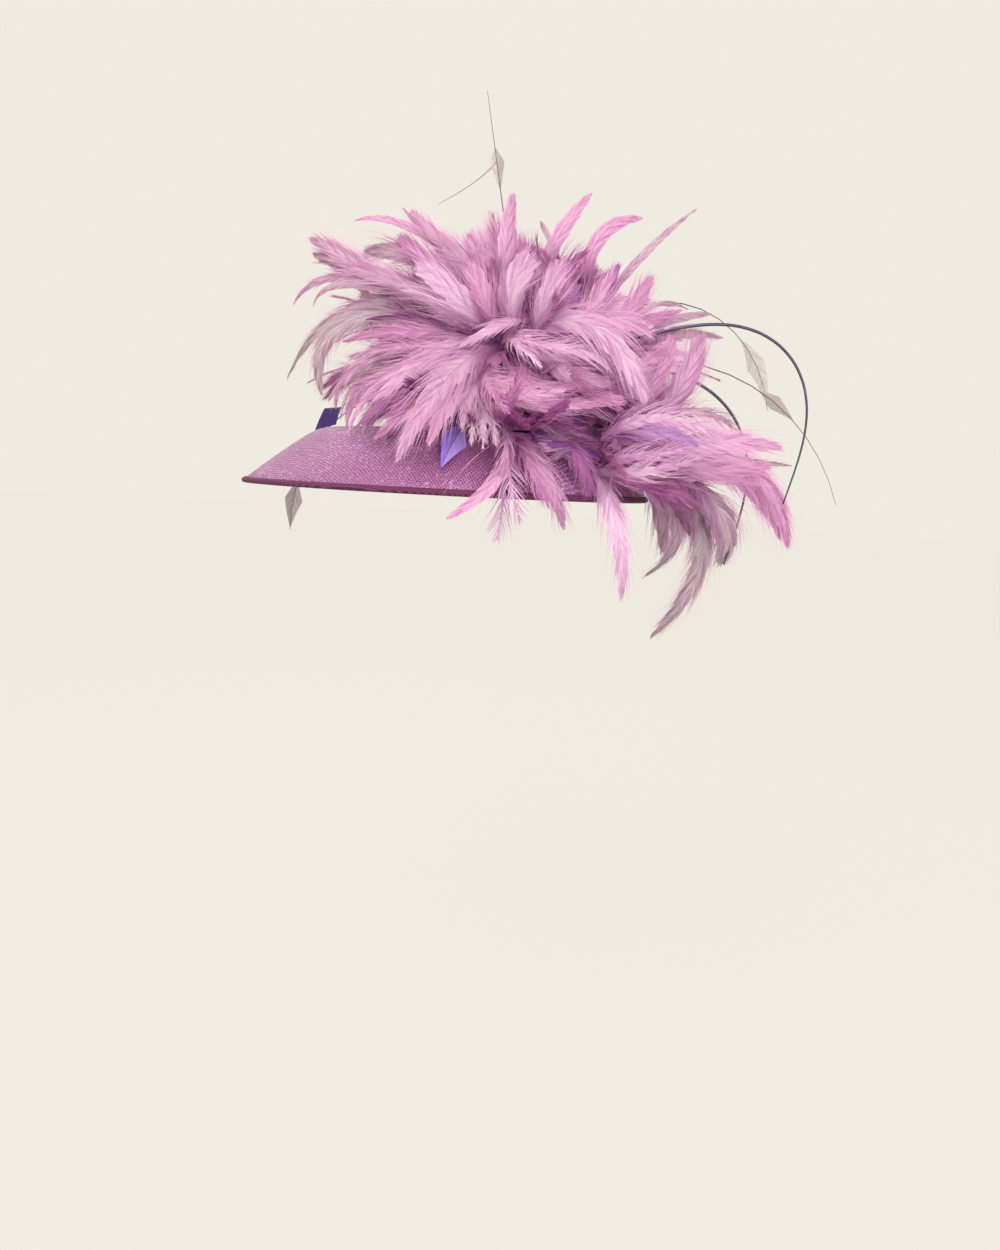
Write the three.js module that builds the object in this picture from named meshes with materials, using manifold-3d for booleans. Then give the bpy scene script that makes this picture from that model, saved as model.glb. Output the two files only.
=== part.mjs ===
// A wide-brimmed dress hat of woven straw cloth. Its round crown stands off-centre on a brim that lies flat
// by the crown and then slopes down to a bound edge. Sprays of dyed hackle feathers bury the crown and fall
// over the brim, with bare curved quills and arrowhead-cut feathers among them.
// Millimetres. The origin is the centre of the head opening, level with the top of the flat brim. +Z is up
// the crown, the wearer faces -Y, and bearings are degrees round the crown from the wearer's front towards
// the wearer's left.
import * as THREE from "three";
import { mergeVertices } from "three/addons/utils/BufferGeometryUtils.js";
import Module from "manifold-3d";

// Hat body
const headLength = 196; // inside the crown, front to back
const headWidth = 166; // inside the crown, side to side
const crownHeight = 112; // outside, above the brim
const crownSquareness = 2.6; // 2 is a round dome, and more is boxier
const crownWall = 1.8;
const brimRadius = 192; // the brim's outline is a circle
const brimShift = 58; // from the crown's centre to that circle's centre
const brimShiftBearing = -135; // the brim is widest behind the wearer's right shoulder
const brimDrop = 51; // from the flat of the brim down to its edge
const brimWall = 1.8;
const collarHeight = 12; // the part of the brim that stands up inside the crown
const seamGap = 0.3; // between pieces that touch
const bindingWall = 0.9;
const bindingWidth = 4;

// Feathers
const featherLength = 150; // the longest common hackle
const featherWidth = 29;
const featherThickness = 1.5;
const featherTaper = 0.6; // of its thickness, from root to tip
const fanCount = 5; // common hackles in a spray
const fanRoll = 50; // degrees that they turn about their shafts, to either side
const featherSwirl = 24; // degrees to either side, from root to tip
const headRadius = 38; // the packed down that a spray's feathers spring from
const headThickness = 40;
const headSink = 3; // how far a head is pressed on to its seat
const headGrowthBehind = 1.45; // heads behind the wearer stand further apart, and are larger by this
const quillThickness = 3.2;
const quillTaper = 0.55; // of its thickness, from root to tip
const stemWidth = 2.2; // of a trimmed quill before its arrowhead, and past it
const whiskerWidth = 1.2;
const shownBearing = -45; // long feathers and arrowheads turn their broad sides this way

// Smoothness of the faceted solids
const turnSteps = 36;
const crownSteps = 5;
const bladeSteps = 5;
const bladeSides = 3;
const quillSteps = 12;
const stemSteps = 7;
const whiskerSteps = 3;
const quillSides = 4;

// The brim's section, from the crown outwards: share of its width, and share of its drop.
const brimSection = [
  { across: 0.0, fall: 0.0 },
  { across: 0.56, fall: 0.0 },
  { across: 0.61, fall: 0.06 },
  { across: 0.8, fall: 0.49 },
  { across: 1.0, fall: 1.0 },
];

// A hackle's width along its length, as a share of featherWidth.
const hackleOutline = [
  { along: 0.0, width: 0.35 },
  { along: 0.18, width: 0.8 },
  { along: 0.42, width: 1.0 },
  { along: 0.68, width: 0.78 },
  { along: 0.88, width: 0.36 },
  { along: 1.0, width: 0.05 },
];

// Each spray's head sits at a bearing and a seat: 0 is the crown's top, 1 the foot of its dome and 2 the
// brim's edge. Its feathers fan by spread round an aim and a lift above level. Their reach is a share of
// featherLength, and from root to tip they droop by about that many degrees.
const sprays = [
  { name: "left_top", bearing: -100, seat: 0.36, aim: -138, lift: 20, spread: 42, reach: 0.95, droop: 24 },
  { name: "top_front", bearing: -32, seat: 0.22, aim: -20, lift: 58, spread: 44, reach: 0.58, droop: 12 },
  { name: "top_right", bearing: 12, seat: 0.38, aim: 35, lift: 38, spread: 38, reach: 0.75, droop: 22 },
  { name: "right_low", bearing: -10, seat: 1.62, aim: 34, lift: 0, spread: 24, reach: 0.95, droop: 34 },
  { name: "right_fall", bearing: 20, seat: 1.72, aim: 50, lift: -32, spread: 24, reach: 0.8, droop: 66 },
  { name: "front_left", bearing: -58, seat: 0.46, aim: -75, lift: 24, spread: 46, reach: 0.55, droop: 24 },
  { name: "left_mid", bearing: -83, seat: 0.72, aim: -118, lift: -8, spread: 34, reach: 0.85, droop: 34 },
  { name: "front_low", bearing: -47, seat: 1.5, aim: -50, lift: 6, spread: 34, reach: 0.5, droop: 50 },
  { name: "right", bearing: 18, seat: 0.72, aim: 34, lift: 8, spread: 36, reach: 0.66, droop: 20 },
  { name: "front_mid", bearing: -33, seat: 0.78, aim: -28, lift: 14, spread: 44, reach: 0.5, droop: 24 },
  { name: "back_left", bearing: -150, seat: 0.62, aim: -158, lift: 8, spread: 42, reach: 0.82, droop: 40 },
  { name: "back", bearing: 150, seat: 0.6, aim: 150, lift: 10, spread: 42, reach: 0.95, droop: 36 },
  { name: "back_right", bearing: 85, seat: 0.66, aim: 88, lift: 10, spread: 40, reach: 0.9, droop: 34 },
  { name: "top_back", bearing: 150, seat: 0.2, aim: 168, lift: 52, spread: 42, reach: 0.75, droop: 26 },
];

// Longer feathers that stand out of a spray, each with a width that is a share of featherWidth.
const longFeathers = [
  { spray: "left_top", aim: -142, lift: 22, reach: 1.0, droop: -6, width: 0.7 },
  { spray: "left_top", aim: -140, lift: 39, reach: 0.83, droop: 60, width: 0.5 },
  { spray: "left_top", aim: -161, lift: 56, reach: 0.74, droop: -15, width: 0.55 },
  { spray: "left_top", aim: -148, lift: 0, reach: 1.13, droop: 50, width: 0.55 },
  { spray: "left_top", aim: -153, lift: -20, reach: 1.34, droop: 88, width: 0.5 },
  { spray: "left_mid", aim: -101, lift: -37, reach: 0.82, droop: 60, width: 0.45 },
  { spray: "left_mid", aim: -156, lift: -18, reach: 0.88, droop: 50, width: 0.45 },
  { spray: "left_mid", aim: -48, lift: -41, reach: 0.82, droop: 70, width: 0.45 },
  { spray: "top_front", aim: 178, lift: 75, reach: 0.64, droop: -25, width: 0.5 },
  { spray: "top_front", aim: 123, lift: 52, reach: 0.65, droop: 0, width: 0.35 },
  { spray: "top_front", aim: 82, lift: 58, reach: 0.8, droop: -14, width: 0.5 },
  { spray: "top_right", aim: 86, lift: 58, reach: 0.79, droop: 58, width: 0.5 },
  { spray: "top_right", aim: 78, lift: 43, reach: 1.1, droop: 8, width: 0.35 },
  { spray: "top_right", aim: 73, lift: -2, reach: 1.03, droop: 44, width: 0.5 },
  { spray: "right", aim: 46, lift: 25, reach: 0.53, droop: -36, width: 0.8 },
  { spray: "right_low", aim: 66, lift: -10, reach: 0.94, droop: 14, width: 0.7 },
  { spray: "right_low", aim: 68, lift: -1, reach: 1.19, droop: -10, width: 0.5 },
  { spray: "right_low", aim: 64, lift: -27, reach: 1.49, droop: 78, width: 0.75 },
  { spray: "right_low", aim: -18, lift: -76, reach: 1.08, droop: 100, width: 0.4 },
  { spray: "right_fall", aim: 76, lift: -84, reach: 1.34, droop: 105, width: 0.5 },
  { spray: "right_fall", aim: 66, lift: -60, reach: 0.75, droop: 50, width: 0.45 },
  { spray: "right_fall", aim: -42, lift: -73, reach: 0.87, droop: 80, width: 0.45 },
  { spray: "front_low", aim: -75, lift: -47, reach: 0.84, droop: 66, width: 0.35 },
  { spray: "front_low", aim: -38, lift: -54, reach: 0.88, droop: 84, width: 0.5 },
  { spray: "front_low", aim: 5, lift: -53, reach: 0.81, droop: 74, width: 0.4 },
];

// Bare quills stripped of their barbs. They run straight for a share of their length before they bend.
const quills = [
  { name: "upper", bearing: 15, seat: 0.55, aim: 38, lift: -45, reach: 2.12, droop: 118, straight: 0.13 },
  { name: "lower", bearing: 12, seat: 0.68, aim: 50, lift: -53, reach: 1.87, droop: 103, straight: 0 },
];

// Quills trimmed to an arrowhead of barbs.
const arrowheads = [
  { name: "top", bearing: -45, seat: 0.1, aim: -174, lift: 76.3, reach: 1.37, droop: 0 },
  { name: "front", bearing: -50, seat: 0.95, aim: -71, lift: -30.7, reach: 0.82, droop: 53 },
  { name: "side", bearing: -120, seat: 0.8, aim: -156, lift: -25, reach: 0.9, droop: 40 },
  { name: "hanging", bearing: -150, seat: 0.9, aim: -166, lift: -40, reach: 1.68, droop: 100 },
  { name: "right_high", bearing: 15, seat: 0.5, aim: 65, lift: -13, reach: 1.7, droop: 130 },
  { name: "right_low", bearing: 18, seat: 0.72, aim: 57, lift: -24, reach: 2.0, droop: 90 },
];

// The arrowheads' own sizes. Widest is a share of their length, from the end nearer the root, and tail is
// the bare whisker past them.
const trims = {
  top: { long: 41, wide: 14, widest: 0.66, tail: 51 },
  front: { long: 50, wide: 22, widest: 0.36, tail: 2 },
  side: { long: 38, wide: 19, widest: 0.42, tail: 2 },
  hanging: { long: 55, wide: 20, widest: 0.42, tail: 2 },
  right_high: { long: 74, wide: 20, widest: 0.42, tail: 2 },
  right_low: { long: 46, wide: 14, widest: 0.42, tail: 95 },
};

const colours = {
  straw: 0xb07aa4,
  binding: 0x7c3f66,
  hackle: 0xe2a4c8,
  quill: 0x2e2138,
  violet: 0x7a5fb0,
};

const wasm = await Module();
wasm.setup();
const degrees = THREE.MathUtils.degToRad;
const goldenTurn = 137.508;
const up = new THREE.Vector3(0, 0, 1);

// Steps for scatter, one for each thing that varies from feather to feather.
const swirlStep = 0.57;
const droopStep = 0.755;
const reachStep = 0.618;
const rollStep = 0.414;

function direction(bearing, lift = 0) {
  const b = degrees(bearing);
  const l = degrees(lift);
  return new THREE.Vector3(Math.sin(b) * Math.cos(l), -Math.cos(b) * Math.cos(l), Math.sin(l));
}

// The fractional part of k steps, an even but unordered spread from 0 to 1.
function scatter(k, step) {
  return (k * step + 0.37) % 1;
}

function interpolate(table, key, value, at) {
  const next = Math.max(1, table.findIndex((row) => row[key] >= at - 1e-9));
  const a = table[next - 1];
  const b = table[next];
  return THREE.MathUtils.lerp(a[value], b[value], (at - a[key]) / (b[key] - a[key]));
}

function solidOf(geometry) {
  const bare = new THREE.BufferGeometry();
  bare.setAttribute("position", geometry.getAttribute("position"));
  bare.setIndex(geometry.index);
  const merged = mergeVertices(bare, 1e-4);
  const vertProperties = merged.attributes.position.array;
  const triVerts = new Uint32Array(merged.index.array);
  return new wasm.Manifold(new wasm.Mesh({ numProp: 3, vertProperties, triVerts }));
}

function geometryOf(solid) {
  const made = solid.getMesh();
  const geometry = new THREE.BufferGeometry();
  geometry.setAttribute("position", new THREE.BufferAttribute(made.vertProperties.slice(), 3));
  geometry.setIndex(new THREE.BufferAttribute(made.triVerts.slice(), 1));
  geometry.computeVertexNormals();
  return geometry;
}

// The body that holds the most material, once cuts have left loose ends.
function largestBody(solid) {
  return solid.decompose().reduce((best, body) => (body.volume() > best.volume() ? body : best));
}

// Moves each vertex of a standard geometry to where place puts it.
function reshape(geometry, place) {
  const position = geometry.getAttribute("position");
  const v = new THREE.Vector3();
  for (let i = 0; i < position.count; i++) {
    const moved = place(v.fromBufferAttribute(position, i), i);
    position.setXYZ(i, moved.x, moved.y, moved.z);
  }
  return geometry;
}

// The oval of the head, grown by out: its radius at a bearing.
function ovalRadius(bearing, out) {
  const b = degrees(bearing);
  const halfWidth = headWidth / 2 + out;
  const halfLength = headLength / 2 + out;
  return 1 / Math.hypot(Math.sin(b) / halfWidth, Math.cos(b) / halfLength);
}

// A round's vertices stand at even steps of the oval's own angle, so that the crown's and the brim's
// line up.
function stepBearing(i) {
  const turn = (i / turnSteps) * 2 * Math.PI;
  return THREE.MathUtils.radToDeg(Math.atan2(headWidth * Math.sin(turn), headLength * Math.cos(turn)));
}

function rimRadius(bearing) {
  const along = brimShift * Math.cos(degrees(bearing - brimShiftBearing));
  return along + Math.sqrt(brimRadius ** 2 - brimShift ** 2 + along ** 2);
}

// The middle of the brim's wall, as a radius and a height, from the collar's top out to the edge that the
// binding covers.
function brimLine(bearing) {
  const inner = ovalRadius(bearing, -seamGap - brimWall / 2);
  const edge = rimRadius(bearing) - bindingWall - seamGap;
  const slope = brimSection.map(({ across, fall }) => {
    const radius = THREE.MathUtils.lerp(inner, edge, across);
    return new THREE.Vector2(radius, -brimWall / 2 - brimDrop * fall);
  });
  return [new THREE.Vector2(inner, collarHeight), ...slope];
}

// Both sides of a wall of that thickness round a line, mitred at its corners, as one closed outline.
function wallOutline(line, thickness) {
  const side = (sign) =>
    line.map((p, i) => {
      const before = p.clone().sub(line[Math.max(0, i - 1)]).normalize();
      const after = line[Math.min(line.length - 1, i + 1)].clone().sub(p).normalize();
      const along = before.clone().add(after).normalize();
      const reference = i === 0 ? after : before;
      const across = new THREE.Vector2(-along.y, along.x);
      return p.clone().addScaledVector(across, (sign * thickness) / 2 / Math.max(0.3, along.dot(reference)));
    });
  return [...side(1), ...side(-1).reverse()];
}

// Carries an outline round the hat. A torus has the closed grid of faces that this needs.
function sweepRound(outlineAt) {
  const outlines = Array.from({ length: turnSteps }, (_, i) => ({
    out: direction(stepBearing(i)),
    points: outlineAt(stepBearing(i)),
  }));
  const corners = outlines[0].points.length;
  return reshape(new THREE.TorusGeometry(2, 1, corners, turnSteps), (_, n) => {
    const { out, points } = outlines[(n % (turnSteps + 1)) % turnSteps];
    const p = points[(corners - (Math.floor(n / (turnSteps + 1)) % corners)) % corners];
    return out.clone().multiplyScalar(p.x).addScaledVector(up, p.y);
  });
}

function brimShape(grow) {
  return sweepRound((bearing) => wallOutline(brimLine(bearing), brimWall + 2 * grow));
}

// A channel folded over the brim's edge, from above to below.
function bindingShape(grow) {
  return sweepRound((bearing) => {
    const line = brimLine(bearing);
    const edge = line[line.length - 1];
    const along = edge.clone().sub(line[line.length - 2]).normalize();
    const across = new THREE.Vector2(-along.y, along.x);
    const at = (out, rise) => edge.clone().addScaledVector(along, out).addScaledVector(across, rise);
    const inside = brimWall / 2 + seamGap - grow;
    const outside = brimWall / 2 + seamGap + bindingWall + grow;
    const back = -bindingWidth - grow;
    const lip = seamGap + bindingWall + grow;
    return [
      at(back, inside),
      at(back, outside),
      at(lip, outside / 2),
      at(lip, -outside / 2),
      at(back, -outside),
      at(back, -inside),
      at(seamGap - grow, -inside),
      at(seamGap - grow, inside),
    ];
  });
}

// The dome's rounding: how far out and how far up it is, as shares, from its foot at 0 to its top at 1.
function domeAt(share) {
  const turn = (share * Math.PI) / 2;
  return {
    out: share === 1 ? 0 : Math.cos(turn) ** (2 / crownSquareness),
    rise: Math.sin(turn) ** (2 / crownSquareness),
  };
}

// The crown's profile, for a wall set out from the head by that much: upright along the collar, then domed.
function crownProfile(wall, foot) {
  const radius = (headWidth + headLength) / 4 + wall;
  const height = crownHeight - crownWall + wall;
  const points = [new THREE.Vector2(radius, foot)];
  for (let i = 0; i <= crownSteps; i++) {
    const { out, rise } = domeAt(i / crownSteps);
    points.push(new THREE.Vector2(radius * out, THREE.MathUtils.lerp(collarHeight, height, rise)));
  }
  return points;
}

function crownLathe(profile) {
  const mean = (headWidth + headLength) / 2;
  return new THREE.LatheGeometry(profile, turnSteps)
    .rotateX(Math.PI / 2)
    .scale(headWidth / mean, headLength / mean, 1);
}

function crownShape() {
  const outside = crownProfile(crownWall, seamGap);
  const inside = crownProfile(0, seamGap);
  return crownLathe([...inside.reverse(), ...outside]);
}

// A solid dome a little larger than the crown, that clears what sits on it.
function crownBlock(grow) {
  return crownLathe([new THREE.Vector2(0, 0), ...crownProfile(crownWall + grow, 0)]);
}

// Where a head or a quill sits, and the way that the surface faces there.
function seatOn({ bearing, seat }) {
  const out = direction(bearing);
  if (seat <= 1) {
    const dome = domeAt(1 - seat);
    const radius = ovalRadius(bearing, crownWall) * dome.out;
    const height = THREE.MathUtils.lerp(collarHeight, crownHeight, dome.rise);
    const point = out.clone().multiplyScalar(radius).addScaledVector(up, height);
    const slope = new THREE.Vector3(
      point.x / (headWidth / 2) ** 2,
      point.y / (headLength / 2) ** 2,
      point.z / crownHeight ** 2,
    );
    return { point, facing: slope.normalize() };
  }
  const across = seat - 1;
  const start = ovalRadius(bearing, crownWall);
  const radius = THREE.MathUtils.lerp(start, rimRadius(bearing), across);
  const fall = brimDrop * interpolate(brimSection, "across", "fall", across);
  const point = out.clone().multiplyScalar(radius).addScaledVector(up, -fall);
  const tilt = across > brimSection[2].across ? brimDrop / (rimRadius(bearing) - start) : 0;
  return { point, facing: out.clone().multiplyScalar(tilt).add(up).normalize() };
}

// Stations along a feather: it lies along aim and lift on the whole, and turns by swirl and droop from root
// to tip. Its broad side looks the way of facing, as far as it can, and is then rolled about its root.
function stations({ root, aim, lift, droop, length, facing, swirl = 0, straight = null, roll = 0 }, alongs) {
  const wayAt = (along) => {
    const turned = (straight === null ? along : THREE.MathUtils.smootherstep(along, straight, 1)) - 0.5;
    return direction(aim + swirl * turned, lift - droop * turned);
  };
  const first = wayAt(0);
  const across = new THREE.Vector3().crossVectors(facing, wayAt(0.5)).normalize();
  across.applyAxisAngle(first, degrees(roll));
  const at = root.clone();
  return alongs.map((along, i) => {
    const before = i === 0 ? 0 : alongs[i - 1];
    at.addScaledVector(wayAt((before + along) / 2), length * (along - before));
    const way = wayAt(along);
    const side = across.clone().addScaledVector(way, -across.dot(way)).normalize();
    const back = new THREE.Vector3().crossVectors(way, side);
    return { along, point: at.clone(), side, back };
  });
}

function evenSteps(count, from = 0, to = 1) {
  return Array.from({ length: count + 1 }, (_, i) => THREE.MathUtils.lerp(from, to, i / count));
}

// A long thin solid along stations. Place says where a round's corner goes, across and back in millimetres.
function alongStations(line, sides, turn, place) {
  return reshape(new THREE.CylinderGeometry(1, 1, 1, sides, line.length - 1, false, turn), (v) => {
    const station = line[Math.round((0.5 - v.y) * (line.length - 1))];
    const { across, rise } = place(v, station.along);
    return station.point.clone().addScaledVector(station.side, across).addScaledVector(station.back, rise);
  });
}

// A feather's blade: flat below, with a ridge above where its quill runs.
function blade(line, widthAt) {
  const corner = Math.cos(Math.PI / 6);
  return alongStations(line, bladeSides, 0, (v, along) => ({
    across: ((v.x / corner) * widthAt(along)) / 2,
    rise: ((v.z + 0.5) / 1.5) * featherThickness * (1 - featherTaper * along),
  }));
}

// The room that a blade needs: a box round its thin edges, and a gap beyond.
function bladeRoom(line, widthAt) {
  const corner = Math.cos(Math.PI / 4);
  return alongStations(line, 4, Math.PI / 4, (v, along) => {
    const thickness = featherThickness * (1 - featherTaper * along);
    return {
      across: (v.x / corner) * (widthAt(along) / 2 + seamGap),
      rise: thickness / 2 + (v.z / corner) * (thickness / 2 + seamGap),
    };
  });
}

function quillTube(line, grow) {
  return alongStations(line, quillSides, 0, (v, along) => {
    const radius = (quillThickness / 2) * (1 - quillTaper * along) + grow;
    return { across: v.x * radius, rise: v.z * radius };
  });
}

// The middle of a spray's head, which its feathers spring from.
function headOf(spray) {
  const { point, facing } = seatOn(spray);
  const root = point.clone().addScaledVector(facing, headThickness / 2 - headSink);
  return { root, facing, outward: direction(spray.bearing).add(facing).normalize() };
}

// A spray's feathers: its fan, and the longer ones that stand out of it.
function feathersOf(spray) {
  const { root, outward } = headOf(spray);
  const fan = Array.from({ length: fanCount }, (_, k) => {
    const lean = spray.spread * Math.sqrt((k + 0.5) / fanCount);
    const turn = degrees(k * goldenTurn);
    const level = Math.max(0.4, Math.cos(degrees(spray.lift)));
    return {
      aim: spray.aim + (lean * Math.cos(turn)) / level,
      lift: spray.lift + lean * Math.sin(turn),
      swirl: featherSwirl * (2 * scatter(k, swirlStep) - 1),
      droop: spray.droop * (0.6 + 0.8 * scatter(k, droopStep)),
      reach: spray.reach * (0.76 + 0.24 * scatter(k, reachStep)),
      roll: fanRoll * (2 * scatter(k, rollStep) - 1),
      width: 1,
      facing: outward,
    };
  });
  const long = longFeathers.filter((row) => row.spray === spray.name);
  return [...long, ...fan].map((feather) => ({
    facing: direction(shownBearing),
    ...feather,
    root,
    length: featherLength * feather.reach,
  }));
}

function headGrowth({ bearing }) {
  const isBehind = Math.cos(degrees(bearing - shownBearing)) < 0;
  return isBehind ? headGrowthBehind : 1;
}

function spraySolid(spray, grow) {
  const { root, facing } = headOf(spray);
  const tilt = new THREE.Quaternion().setFromUnitVectors(up, facing);
  const radius = headRadius * headGrowth(spray) + grow;
  const thickness = headThickness * headGrowth(spray) + 2 * grow;
  const head = new THREE.SphereGeometry(1, 8, 5)
    .rotateX(Math.PI / 2)
    .scale(radius, radius, thickness / 2)
    .applyQuaternion(tilt)
    .translate(root.x, root.y, root.z);
  const blades = feathersOf(spray).map((feather) => {
    const broadest = featherWidth * feather.width;
    const width = (along) => broadest * interpolate(hackleOutline, "along", "width", along);
    return solidOf((grow ? bladeRoom : blade)(stations(feather, evenSteps(bladeSteps)), width));
  });
  return wasm.Manifold.union([solidOf(head), ...blades]);
}

// Where a bare quill or a trimmed one springs from, and how it runs. Its root is cut off level with the hat.
function quillRun(row) {
  const { point, facing } = seatOn(row);
  const root = point.clone().addScaledVector(facing, -quillThickness);
  return { ...row, root, facing: direction(shownBearing), length: featherLength * row.reach };
}

function quillSolid(row, grow) {
  return solidOf(quillTube(stations(quillRun(row), evenSteps(quillSteps)), grow));
}

// A quill whose barbs are cut away but for a diamond.
function arrowheadSolid(row, grow) {
  const run = quillRun(row);
  const trim = trims[row.name];
  const vane = trim.long / run.length;
  const end = 1 - trim.tail / run.length;
  const start = end - vane;
  const widest = start + trim.widest * vane;
  const width = (along) => {
    if (Math.abs(along - widest) < 1e-6) return trim.wide;
    return along < widest ? stemWidth : whiskerWidth;
  };
  const alongs = [...evenSteps(stemSteps, 0, start), widest, ...evenSteps(whiskerSteps, end, 1)];
  return solidOf((grow ? bladeRoom : blade)(stations(run, alongs), width));
}

// Everything is made once to its true size, cleared from what is already there, and named.
const taken = [crownBlock(seamGap), brimShape(seamGap), bindingShape(seamGap)].map(solidOf);

function fit(makeSolid) {
  const cleared = wasm.Manifold.difference([makeSolid(0), ...taken]);
  taken.push(makeSolid(seamGap));
  return geometryOf(largestBody(cleared));
}

function piece(name, geometry, colour, roughness) {
  const material = new THREE.MeshStandardMaterial({ color: colour, roughness, metalness: 0 });
  const mesh = new THREE.Mesh(geometry, material);
  mesh.name = name;
  return mesh;
}

const hat = new THREE.Group();
hat.add(piece("crown", geometryOf(solidOf(crownShape())), colours.straw, 0.6));
hat.add(piece("brim", geometryOf(solidOf(brimShape(0))), colours.straw, 0.6));
hat.add(piece("rim_binding", geometryOf(solidOf(bindingShape(0))), colours.binding, 0.7));
for (const row of quills) {
  const made = fit((grow) => quillSolid(row, grow));
  hat.add(piece(`quill_${row.name}`, made, colours.quill, 0.35));
}
for (const row of arrowheads) {
  const made = fit((grow) => arrowheadSolid(row, grow));
  hat.add(piece(`arrowhead_${row.name}`, made, colours.violet, 0.5));
}
for (const row of sprays) {
  hat.add(piece(`spray_${row.name}`, fit((grow) => spraySolid(row, grow)), colours.hackle, 0.7));
}

export default hat;
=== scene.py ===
import math
from collections import namedtuple

import bmesh
import bpy
import numpy as np
from mathutils import Matrix


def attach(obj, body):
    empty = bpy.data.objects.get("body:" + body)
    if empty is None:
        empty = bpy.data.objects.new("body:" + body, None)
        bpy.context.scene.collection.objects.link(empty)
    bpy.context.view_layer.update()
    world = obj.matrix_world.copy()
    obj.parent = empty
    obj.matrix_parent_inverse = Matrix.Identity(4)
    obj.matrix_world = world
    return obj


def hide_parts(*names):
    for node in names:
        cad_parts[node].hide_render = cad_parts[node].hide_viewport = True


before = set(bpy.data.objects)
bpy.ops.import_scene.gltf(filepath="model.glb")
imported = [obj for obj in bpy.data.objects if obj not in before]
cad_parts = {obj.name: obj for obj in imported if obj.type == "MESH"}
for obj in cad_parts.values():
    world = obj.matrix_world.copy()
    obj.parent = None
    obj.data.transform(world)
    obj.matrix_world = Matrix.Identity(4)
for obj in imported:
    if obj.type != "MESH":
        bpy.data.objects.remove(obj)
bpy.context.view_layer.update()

metre = 0.001  # of a millimetre
up = np.array([0.0, 0.0, 1.0])

# The hat body, as the part has it
head_length = 196
head_width = 166
crown_height = 112
crown_squareness = 2.6
crown_wall = 1.8
brim_radius = 192
brim_shift = 58
brim_shift_bearing = -135
brim_drop = 51
brim_wall = 1.8
collar_height = 12
binding_wall = 0.9
binding_width = 4
fit_gap = 0.3  # between cloths that lie against each other
brim_across = [0.0, 0.56, 0.61, 0.8, 1.0]
brim_fall = [0.0, 0.0, 0.06, 0.49, 1.0]

# Feathers, as the part has them
quill_thickness = 3.2
quill_taper = 0.55
feather_length = 150
feather_width = 29
feather_swirl = 24
head_thickness = 40
head_sink = 3
fan_count = 5
shown_bearing = -45
golden_turn = 137.508

# The camera, in millimetres and degrees, and its focal length in pixels of the 1000 by 1250 picture
camera_far = 885
camera_height = -38
camera_pitch = 9.2
camera_roll = 3.1
camera_focal = 903
picture_width, picture_height = 1000, 1250


# The hat's surface

def direction(bearing, lift=0.0):
    b, l = np.radians(bearing), np.radians(lift)
    return np.stack([np.sin(b) * np.cos(l), -np.cos(b) * np.cos(l), np.sin(l) + 0 * b], axis=-1)


def unit(v):
    return v / np.linalg.norm(v, axis=-1, keepdims=True)


def oval_radius(bearing, out=0.0):
    b = np.radians(bearing)
    return 1 / np.hypot(np.sin(b) / (head_width / 2 + out), np.cos(b) / (head_length / 2 + out))


def rim_radius(bearing):
    along = brim_shift * np.cos(np.radians(bearing - brim_shift_bearing))
    return along + np.sqrt(brim_radius**2 - brim_shift**2 + along**2)


def brim_height(bearing, radius):
    start = oval_radius(bearing, crown_wall)
    across = (radius - start) / (rim_radius(bearing) - start)
    return -brim_drop * np.interp(across, brim_across, brim_fall)


def dome_at(share):
    turn = share * math.pi / 2
    out = 0.0 if share >= 1 else math.cos(turn) ** (2 / crown_squareness)
    return out, math.sin(turn) ** (2 / crown_squareness)


def seat_on(bearing, seat):
    """A point of the hat and the way it faces. Seat 0 is the crown's top, 1 its foot, 2 the brim's edge."""
    out = direction(bearing)
    start = oval_radius(bearing, crown_wall)
    if seat <= 1:
        across, rise = dome_at(1 - seat)
        point = out * start * across + up * (collar_height + (crown_height - collar_height) * rise)
        return point, unit(point / np.array([head_width / 2, head_length / 2, crown_height]) ** 2)
    rim = rim_radius(bearing)
    radius = start + (rim - start) * (seat - 1)
    point = out * radius + up * brim_height(bearing, radius)
    tilt = brim_drop / (rim - start) if seat - 1 > brim_across[2] else 0.0
    return point, unit(out * tilt + up)


hang_slope = 2.5  # what is deeper under the brim than this many times its way in from the edge,
hang_least = 12  # and this much more, hangs outside the edge and isn't raised on to the brim


def clear_of_hat(points, above=1.2):
    """Moves what lies inside the crown out to it, and what lies in or just under the brim on to it."""
    x, y, z = points.T
    radius = np.hypot(x, y)
    bearing = np.degrees(np.arctan2(x, -y))
    oval = oval_radius(bearing, crown_wall + above)
    rise = np.clip(z - collar_height, 0, None) / (crown_height + above - collar_height)
    within = (radius / oval) ** crown_squareness + rise**crown_squareness
    inside = (within < 1) & (z > 0)
    grow = np.where(inside, np.maximum(within, 1e-3) ** (-1 / crown_squareness), 1.0)
    radius = radius * grow
    z = np.where(inside & (z > collar_height), collar_height + (z - collar_height) * grow, z)
    rim = rim_radius(bearing)
    top = brim_height(bearing, radius) + above
    under = (z < top) & (radius < rim + above)
    raised = under & (top - z < hang_slope * (rim + above - radius) + hang_least)
    z = np.where(raised, top, z)
    radius = np.where(under & ~raised, rim + above, radius)
    turn = np.radians(bearing)
    return np.stack([radius * np.sin(turn), -radius * np.cos(turn), z], axis=-1)


# Materials

def linear(hex_colour):
    channels = [int(hex_colour[i:i + 2], 16) / 255 for i in (1, 3, 5)]
    return tuple(c / 12.92 if c <= 0.04045 else ((c + 0.055) / 1.055) ** 2.4 for c in channels)


def rgba(hex_colour):
    return (*linear(hex_colour), 1.0)


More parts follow.
